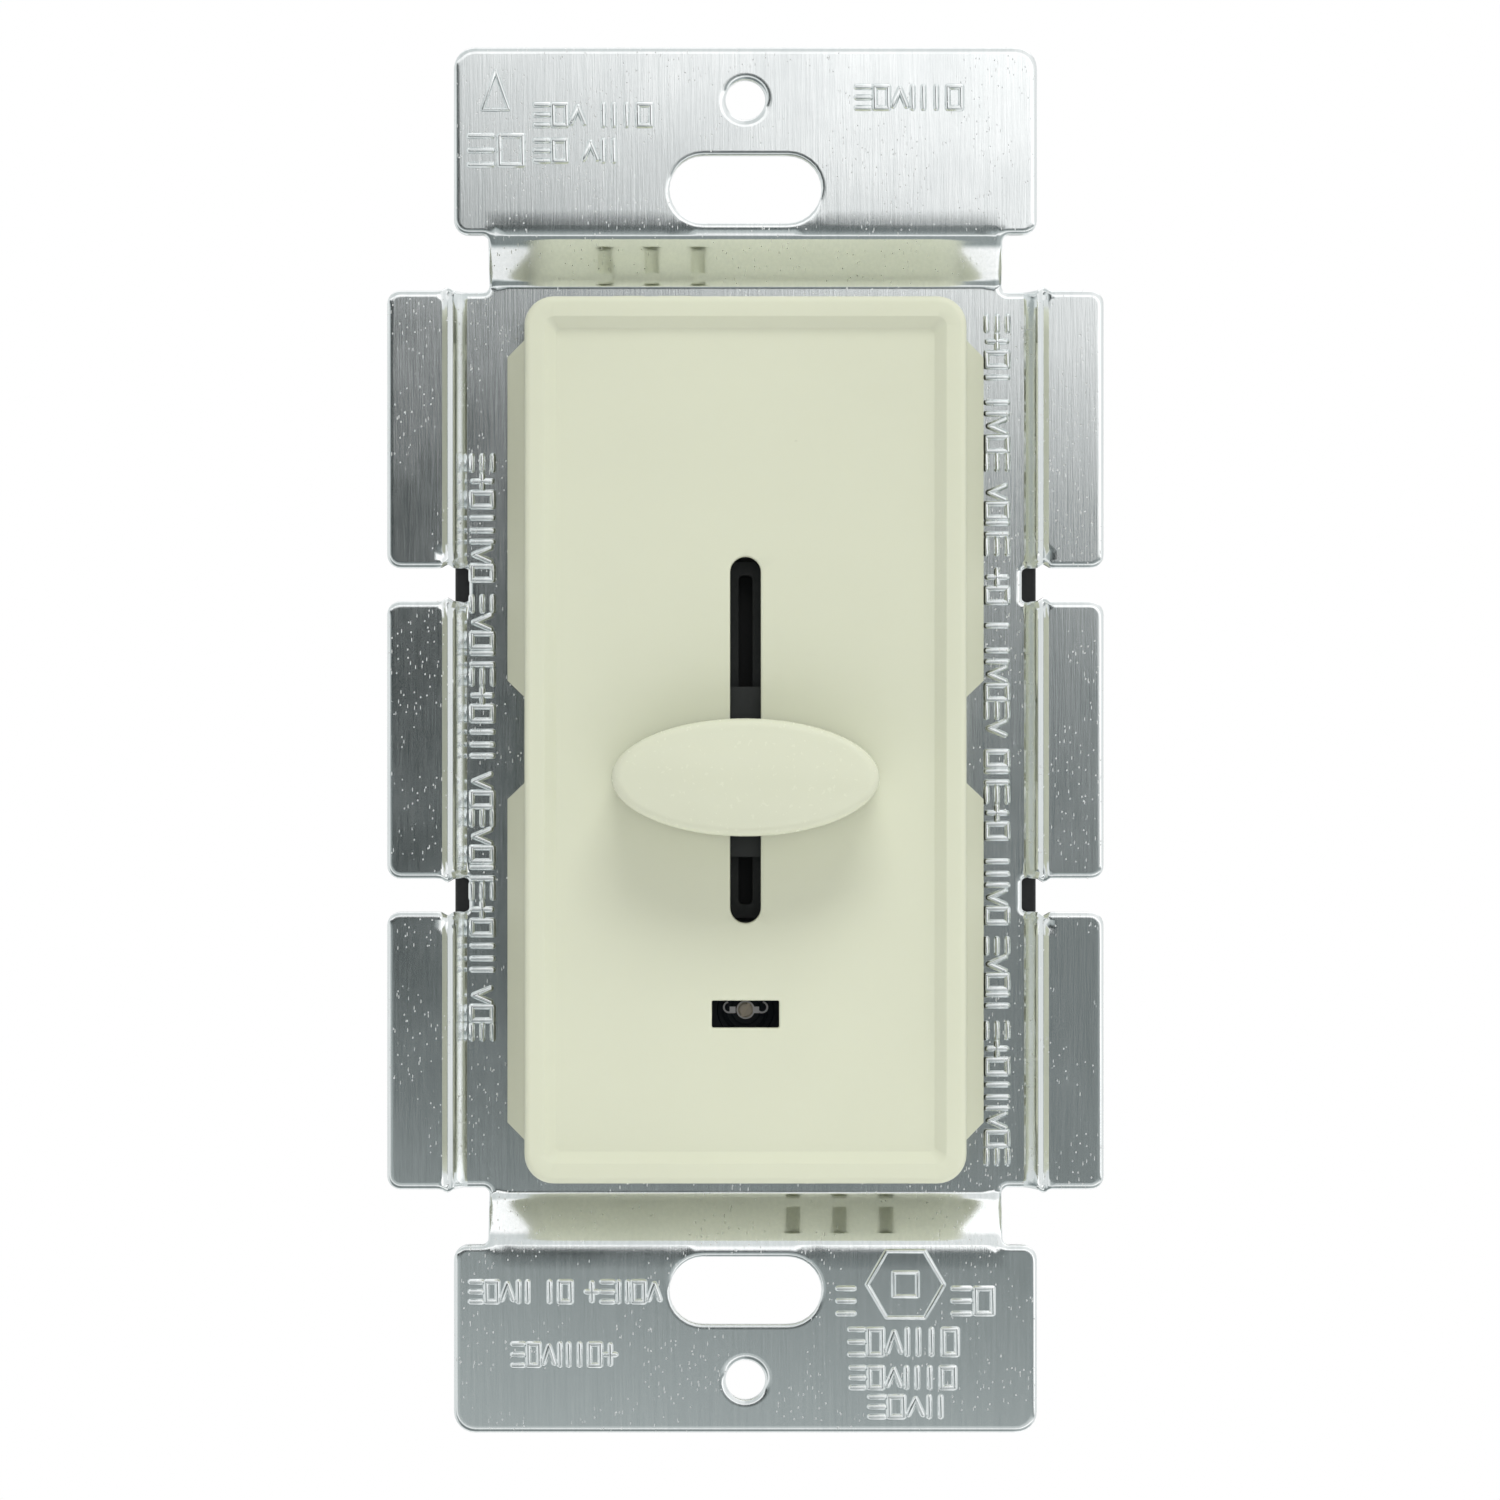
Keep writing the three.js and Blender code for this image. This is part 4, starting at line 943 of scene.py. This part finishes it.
def make_trimmer():
    """A black base with a raised ring, and a rotor with a slotted post, contact pads and two wire loops."""
    z = WINDOW.z
    axis = (0, z)
    build = Build()
    build.box((-3, 3), (5.9, 8.1), (z - 3, z + 3), 0.2, 3)
    build.ringed([(2.1, 5.95), (2.1, 5.45), (2.2, 5.35), (2.8, 5.35), (2.9, 5.45), (2.9, 5.95)], axis)
    for x, pin_z in ((-2.4, -1.9), (2.4, -1.9), (0, 2.1)):
        build.box((x - 0.3, x + 0.3), (8.0, 13.2), (z + pin_z - 0.3, z + pin_z + 0.3), 0.06)
    bore = Build()
    bore.turned([(0, 5.0), (TRIMMER_BORE, 5.0), (TRIMMER_BORE, 7.6), (0, 7.6)], axis)
    build.piece("trimmer_body", "trimmer_black", ("trimmer_base",), cutter=bore)

    build = Build()
    build.ringed([(0.58, 5.36), (1.65, 5.36), (1.75, 5.44), (1.75, 5.65), (0.58, 5.65)], axis)
    for r in (1.05, 1.45):
        build.ringed([(r, 5.4), (r, 5.31), (r + 0.07, 5.28), (r + 0.14, 5.31), (r + 0.14, 5.4)], axis)
    build.piece("trimmer_disc", "trimmer_black", body="trim_rotor")

    build = Build()
    r = TRIMMER_POST
    build.turned([(0, 4.5), (r - 0.16, 4.5), (r - 0.08, 4.55), (r - 0.06, 4.9), (r, 5.0), (r, 5.3),
                  (r + 0.14, 5.32), (r + 0.14, 5.37), (r, 5.38), (r, 7), (0, 7)], axis)
    along = Vector((cos(radians(62)), sin(radians(62))))
    across = Vector((-along.y, along.x)) * 0.1
    corners = [p + Vector(axis) for p in (along + across, -along + across, -along - across, along - across)]
    slot = Build()
    slot.prism([[(c.x, y, c.y) for c in corners] for y in (4.3, 5.1)])
    build.piece("trimmer_post", "trimmer_post", ("trimmer_rotor",), 30, slot, "trim_rotor")

    build = Build()
    build.ringed([(0.59, 5.04), (0.59, 4.92), (0.64, 4.9), (0.69, 4.92), (0.69, 5.04)], axis)
    for x1, x2 in ((-1.22, -0.76), (0.55, 1.04)):
        build.box((x1, x2), (4.9, 5.05), (z - 0.25, z + 0.25), 0.05)
        build.box((x1 + 0.08, x2 - 0.08), (4.86, 4.95), (z - 0.02, z + 0.03), 0.015)
    for side in (1, -1):
        loop = arc((side * 1.26, z + 0.2), 0.4, 90 - side * 10, 90 - side * 250, 18)
        build.tube([(x, 4.97, loop_z) for x, loop_z in loop], 0.075, 8)
    # the contacts' near-white matt material is a painted glint standing in for bare metal
    build.piece("trimmer_contacts", "trimmer_silver", ("trimmer_wiper",), body="trim_rotor")


# ---- rear housing

def housing_ring(build, from_edge, y):
    half_width, half_height = HOUSING_HIGH.x - from_edge, HOUSING_HIGH.z - from_edge
    return build.level(centred(0, 0, half_width, half_height, max(0.6, HOUSING.corner - from_edge), 8), y)


def make_housing():
    """A deep moulded cup, open at the front, with a flange, screw bosses, board ribs and two lead holes."""
    build = Build()
    front, back, wall = HOUSING_LOW.y, HOUSING_HIGH.y, HOUSING.wall
    step, soft = HOUSING.step, HOUSING.back_edge
    narrowed = step + HOUSING.draft
    inner_back = back - wall
    profile = [(wall + 0.9, inner_back), (wall + 0.1, front + 3.4), (wall, front + 0.1), (wall - 0.1, front),
               (0.14, front), (0.0, front + 0.14), (0.0, front + 2.9), (0.1, front + 3.05),
               (step - 0.1, front + 3.1), (step, front + 3.25), (narrowed - 0.05, back - soft - 0.6)]
    profile += [(narrowed + across, back - soft + rise) for across, rise in quarter(soft, 7)]
    profile.append((narrowed + soft + 0.6, back))
    rings = [housing_ring(build, *row) for row in profile]
    build.skin(rings)

    outside, inside = [rings[-1]], [rings[0]]
    for side in (1, -1):
        bore = [(2.15, back), (2.0, back - 0.06), (1.7, back - 0.4), (1.7, inner_back)]
        rings = [build.level(hole(circle(side * LEAD_HOLE.x, LEAD_HOLE.z, r, 32)), y) for r, y in bore]
        build.skin(rings)
        outside.append(rings[0])
        inside.append(rings[-1])
    ejector_marks = ((-16.5, -26), (16.5, -26), (-17, 28.6), (17, 28.6))
    recesses = [(rectangle(-15, 15, -4, 26, 1.0, 5), 0.3)]
    recesses += [(circle(x, z, 1.2, 28), 0.12) for x, z in ejector_marks]
    for outline, depth in recesses:
        outside.append(build.level(hole(outline), back))
        floor = build.level(inset(hole(outline), -0.14), back - depth)
        build.bridge(outside[-1], floor)
        build.bm.faces.new(floor)
    build.fill(outside, grid(-18, 18, -28, 28, 4), back)
    build.fill(inside, grid(-17, 17, -27, 27, 6), inner_back)

    for place in boss_places():
        build.turned([(0, 12), (1.5, 12), (1.5, front + 0.2), (1.65, front), (2.85, front), (3, front + 0.15),
                      (3, 13.9), (2.9, 14), (0, 14)], place, 32)
    for side_x, side_z in CORNERS:
        x, z = sorted((side_x * 18.9, side_x * 20.9)), sorted((side_z * 6, side_z * 9))
        build.box(x, (12.5, back - 1), z, 0.2)
    add_label_marks(build, back - 0.3)
    build.piece("housing", "housing_black", ("rear_housing",), 34)


def boss_places():
    return [(x, z) for x in BOSS.x for z in (-BOSS.z, BOSS.z)]


def add_label_marks(build, floor):
    """Plain raised bars in the label recess stand for the rating text."""
    for row in range(7):
        z = 21.5 - row * 3.2
        x = -12.5
        while x < 11.5:
            length = min(random.choice((1.3, 2.1, 2.9, 4.2)), 12.6 - x)
            build.box((x, x + length), (floor - 0.1, floor + 0.14), (z, z + (1.5 if row == 0 else 1.0)), 0.05)
            x += length + 0.8


def make_housing_screws():
    """Pan heads with a cross recess and a coarse thread for plastic."""
    profile = [(0, 0.0), (0.9, 0.02), (1.6, 0.14), (2.1, 0.42), (2.4, 0.85), (2.5, 1.2), (2.46, 1.45),
               (2.36, 1.5), (1.15, 1.5), (0.9, 1.6)]
    y = 1.9
    while y < 9.6:
        profile += [(0.85, y), (1.18, y + 0.28), (1.2, y + 0.36), (0.85, y + 0.6)]
        y += 0.8
    profile += [(0.8, 10.1), (0.35, 10.8), (0, 11)]
    for number, (x, z) in enumerate(boss_places(), 1):
        build = Build()
        build.turned(profile, (x, z), 28)
        cross = Build()
        for wide in (True, False):
            rings = []
            for y, reach in ((-0.3, 1.4 * 1.12), (0.85, 1.4 * 0.62)):
                dx, dz = (reach, 0.35) if wide else (0.35, reach)
                rings.append([(x + u * dx, y, z + v * dz) for u, v in ((-1, -1), (1, -1), (1, 1), (-1, 1))])
            cross.prism(rings)
        build.piece(f"screw_{number}", "screw_steel", (f"housing_screw_{number}",), 34, cross)


# ---- parts on the back of the board

def make_choke():
    centre = (CHOKE.x, CHOKE.z)
    section = [(4.0, 15.5), (4.15, 15.15), (4.5, 15.0), (6.5, 15.0), (6.85, 15.15), (7.0, 15.5), (7.0, 20.0),
               (6.85, 20.35), (6.5, 20.5), (4.5, 20.5), (4.15, 20.35), (4.0, 20.0)]
    build = Build()
    build.ringed(section, centre, 56)
    build.piece("choke_ring", "choke_ferrite", ("choke_core",))

    count = CHOKE.turns * CHOKE.steps
    path = []
    for i in range(count + 1):
        around = radians(CHOKE.start + (CHOKE.stop - CHOKE.start) * i / count)
        phase = 2 * pi * i / CHOKE.steps
        square = (abs(cos(phase)) ** 4 + abs(sin(phase)) ** 4) ** -0.25
        radius = CHOKE.radius + 1.95 * sin(phase) * square
        y = CHOKE.middle - 3.2 * cos(phase) * square
        path.append((CHOKE.x + radius * cos(around), y, CHOKE.z + radius * sin(around)))
    leads = [[(path[end][0], y, path[end][2]) for y in (10.0, 12.0, 13.4)] for end in (0, -1)]
    build = Build()
    build.tube(leads[0] + path + leads[1][::-1], 0.4, 8)
    build.piece("choke_turns", "choke_copper", ("choke_winding",), 50)


def make_capacitors():
    build = Build()
    build.box((-18, -3), (12.8, 24.8), (-24.5, -17.5), 0.5, 3)
    for x in (-17, -4.6):
        build.box((x, x + 0.6), (12.3, 12.9), (-24, -18), 0.1)
    build.piece("film_capacitor", "film_yellow", ("suppression_capacitor",))

    build = Build()
    build.box((-16, -8.8), (13.0, 20), (2, 6), 1.5, 5)
    for x in (-14.9, -9.9):
        build.turned([(0, 12.6), (0.42, 12.7), (0.75, 13.5), (0.8, 14.5), (0, 14.5)], (x, 4), 16)
    build.piece("dipped_capacitor", "timing_red", ("timing_capacitor",), 60)


def axial_body(build, length, radius, waist, z):
    """Domed ends, a bead near each end and a waist between."""
    half = length / 2
    end = [(half, 0.35), (half - 0.12, radius * 0.75), (half - 0.4, radius), (half - 1.0, radius),
           (half - 1.45, waist)]
    stations = [(-x, r) for x, r in end] + end[::-1]
    build.tube([(AXIAL.x + x, AXIAL.y, z) for x, _ in stations], [r for _, r in stations], 20)


def make_axial_parts():
    """A trigger diode and two resistors with colour bands."""
    brown, black, gold = linear(92, 50, 30), linear(28, 26, 26), linear(176, 136, 50)
    yellow, violet, blue = linear(214, 176, 40), linear(96, 70, 130), linear(40, 62, 120)
    tan = linear(200, 170, 124)

    def code(*colours):
        return [(x, 0.27, colour) for x, colour in zip((-14.4, -13.2, -12.1, -9.6), colours)]

    parts = [
        ("trigger_diode", "diac", "diac_glass", linear(124, 62, 78), [(-12.0, 0.3, blue)], (4.0, 0.95, 0.95)),
        ("resistor_a", "resistor_1", "resistor_tan", tan, code(brown, black, yellow, gold), (6.3, 1.2, 1.0)),
        ("resistor_b", "resistor_2", "resistor_tan", tan, code(yellow, violet, brown, gold), (6.3, 1.2, 1.0)),
    ]
    for z, (name, node, slot, tone, bands, size) in zip(AXIAL.heights, parts):
        build = Build()
        axial_body(build, *size, z)
        build.piece(name, slot, (node,), 40, look=banded(name, tone, bands))


def make_leads():
    """The tinned wires of the capacitors and of the parts that lie along the board."""
    build = Build()
    for z in AXIAL.heights:
        for side in (1, -1):
            end = AXIAL.x + side * AXIAL.reach
            bend = ((0, 10.0), (0, 13.4), (0.1, 13.8), (0.35, 14.05), (0.7, AXIAL.y), (3.4, AXIAL.y))
            build.tube([(end - side * inward, y, z) for inward, y in bend], 0.3, 10)
    for x, z in ((-15.5, -21), (-5.5, -21), (-14.9, 4), (-9.9, 4)):
        build.tube([(x, y, z) for y in (10.0, 10.2, 11.5, 13.2)], 0.32, 10)
    build.piece("component_leads", "tinned_metal")


# ---- looks of the CAD nodes that are drawn as they are

def dress_cad_nodes():
    numbered = ("switch_terminal", "triac_leg")
    looks = {
        "fish_paper": ["insulating_sheet"],
        "board_laminate": ["circuit_board"],
        "pot_phenolic": ["pot_track"],
        "pot_steel": ["pot_shell"],
        "pot_slider": ["pot_carriage"],
        "spring_bronze": ["pot_wiper", "switch_blade"],
        "tinned_metal": ["triac_tab"] + [f"{part}_{i}" for part in numbered for i in (1, 2, 3)],
        "rivet_aluminium": ["triac_rivet"],
        "triac_black": ["triac_body"],
        "switch_black": ["switch_case"],
        "plunger_white": ["switch_plunger"],
    }
    for look, nodes in looks.items():
        for name in nodes:
            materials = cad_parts[name].data.materials
            materials.clear()
            materials.append(LOOKS[look])


# ---- camera, light and floor

SOFT_LIGHT = 0.128
SOFT_SIDES = (25, 70, 3.5)  # degrees from the view's axis, and the strength gained between them
SOFT_RIGHT = (-0.35, 0.35, 0.85, 2.9)  # from and to along X, and the strength at each
TENT_DARK = 0.035
TENT_TINT = (0.84, 1.0, 1.0)
TENT_TILT = 0.35  # the dark opening slopes down to the right
TENT_STEPS = (  # start and end elevation in degrees, and the strength gained between them
    (2.3, 3.3, 0.66),
    (3.4, 4.9, 0.44),
    (7, 14, -0.45),
    (58, 80, 0.5),
    (118, 135, -0.4),
    (-2.3, -5.4, 0.42),
    (-9, -12, 0.42),
    (-18, -26, -0.66),
    (-58, -80, 0.72),
    (-118, -135, -0.2),
)
TENT_RIGHT = (-2, 5, 0.24)  # the same, in degrees to the right
TENT_SIDES = Sizes(slope=(30, 55, 1.0), strength=0.82)
WHITE = (1, 1, 1)


def make_world():
    """White where the camera sees it, a soft light on matt surfaces, and a light tent in reflections.

    The soft light grows to the right and away from the view's axis. The tent is dark round its opening for
    the camera, with a softbox just above the opening, and is white above, below and at the sides.
    """
    world = bpy.data.worlds.new("studio")
    bpy.context.scene.world = world
    world.use_nodes = True
    world.node_tree.nodes.clear()
    n = Nodes(world)

    def rise(value, start, stop, gain):
        inputs = (value, radians(start), radians(stop), 0, gain)
        return n.add("ShaderNodeMapRange", inputs, interpolation_type="SMOOTHSTEP").outputs[0]

    def light(colour, strength):
        return n.add("ShaderNodeBackground", (colour, strength)).outputs[0]

    apart = n.add("ShaderNodeSeparateXYZ", (n.place["Generated"],)).outputs
    toward = n.maths("MULTIPLY", apart["Y"], -1.0)
    tilted = n.maths("ADD", apart["Z"], n.maths("MULTIPLY", apart["X"], TENT_TILT))
    elevation = n.maths("ARCTAN2", tilted, toward)
    azimuth = n.maths("ARCSINE", apart["X"])
    strength = TENT_DARK
    for step in TENT_STEPS:
        strength = n.maths("ADD", strength, rise(elevation, *step))
    strength = n.maths("ADD", strength, rise(azimuth, *TENT_RIGHT))
    side = rise(n.maths("ABSOLUTE", azimuth), *TENT_SIDES.slope)
    strength = n.add("ShaderNodeMix", {0: side, 2: strength, 3: TENT_SIDES.strength}).outputs[0]
    tent = light(n.mix(strength, TENT_TINT, WHITE), strength)
    away = rise(n.maths("ARCCOSINE", toward), *SOFT_SIDES)
    softness = n.maths("ADD", n.range(apart["X"], *SOFT_RIGHT), away)
    soft = light(WHITE, n.maths("MULTIPLY", softness, SOFT_LIGHT))
    rays = n.add("ShaderNodeLightPath").outputs
    mirrored = n.maths("GREATER_THAN", n.maths("SUBTRACT", rays["Is Glossy Ray"], rays["Diffuse Depth"]), 0.5)
    unseen = n.add("ShaderNodeMixShader", (mirrored, soft, tent)).outputs[0]
    shown = n.add("ShaderNodeMixShader", (rays["Is Camera Ray"], unseen, light(WHITE, 1.0))).outputs[0]
    n.add("ShaderNodeOutputWorld", (shown,))


def make_camera():
    camera = bpy.data.cameras.new("camera")
    camera.sensor_width = 36
    camera.lens = 209
    camera.clip_start = 0.01
    obj = placed("camera", camera)
    obj.location = (0.34 * MM, -0.66, -0.76 * MM)
    obj.rotation_euler = (radians(90), 0, 0)
    bpy.context.scene.camera = obj


def make_floor():
    build = Build()
    build.bm.faces.new(build.ring([(x, y, -120) for x, y in circle(0, 0, 320, 96)]))
    mesh = bpy.data.meshes.new("floor")
    build.bm.to_mesh(mesh)
    build.bm.free()
    n = new_look("floor_paper")
    n.set(Base_Color=n.mix(n.noise(40, 2), (0.86, 0.86, 0.86), (0.9, 0.9, 0.9)), Roughness=0.85,
          Emission_Color=WHITE, Emission_Strength=0.28)
    mesh.materials.append(n.owner)
    floor = placed("floor", mesh)
    floor.visible_glossy = False


def area_light(name, size, power, place):
    light = bpy.data.lights.new(name, "AREA")
    light.shape = "RECTANGLE"
    light.size, light.size_y = size
    light.energy = power
    obj = placed(name, light)
    obj.location = place
    obj.rotation_euler = (-Vector(place)).to_track_quat("-Z", "Y").to_euler()
    obj.visible_glossy = False


def make_studio():
    make_world()
    make_camera()
    make_floor()
    area_light("key", (0.5, 0.3), 4.6, (0.1, -0.45, 0.75))
    area_light("front", (0.05, 0.05), 0.8, (0.0, -0.7, 0.0))
    area_light("back", (0.8, 0.6), 4.0, (0.1, 0.9, 0.7))
    bpy.context.scene.view_settings.view_transform = "Standard"
    bpy.context.scene.view_settings.look = "None"


random.seed(7)
make_studio()
make_strap()
make_face()
make_knob()
make_carriage()
make_guide()
make_trimmer()
make_housing()
make_housing_screws()
make_choke()
make_capacitors()
make_axial_parts()
make_leads()
dress_cad_nodes()
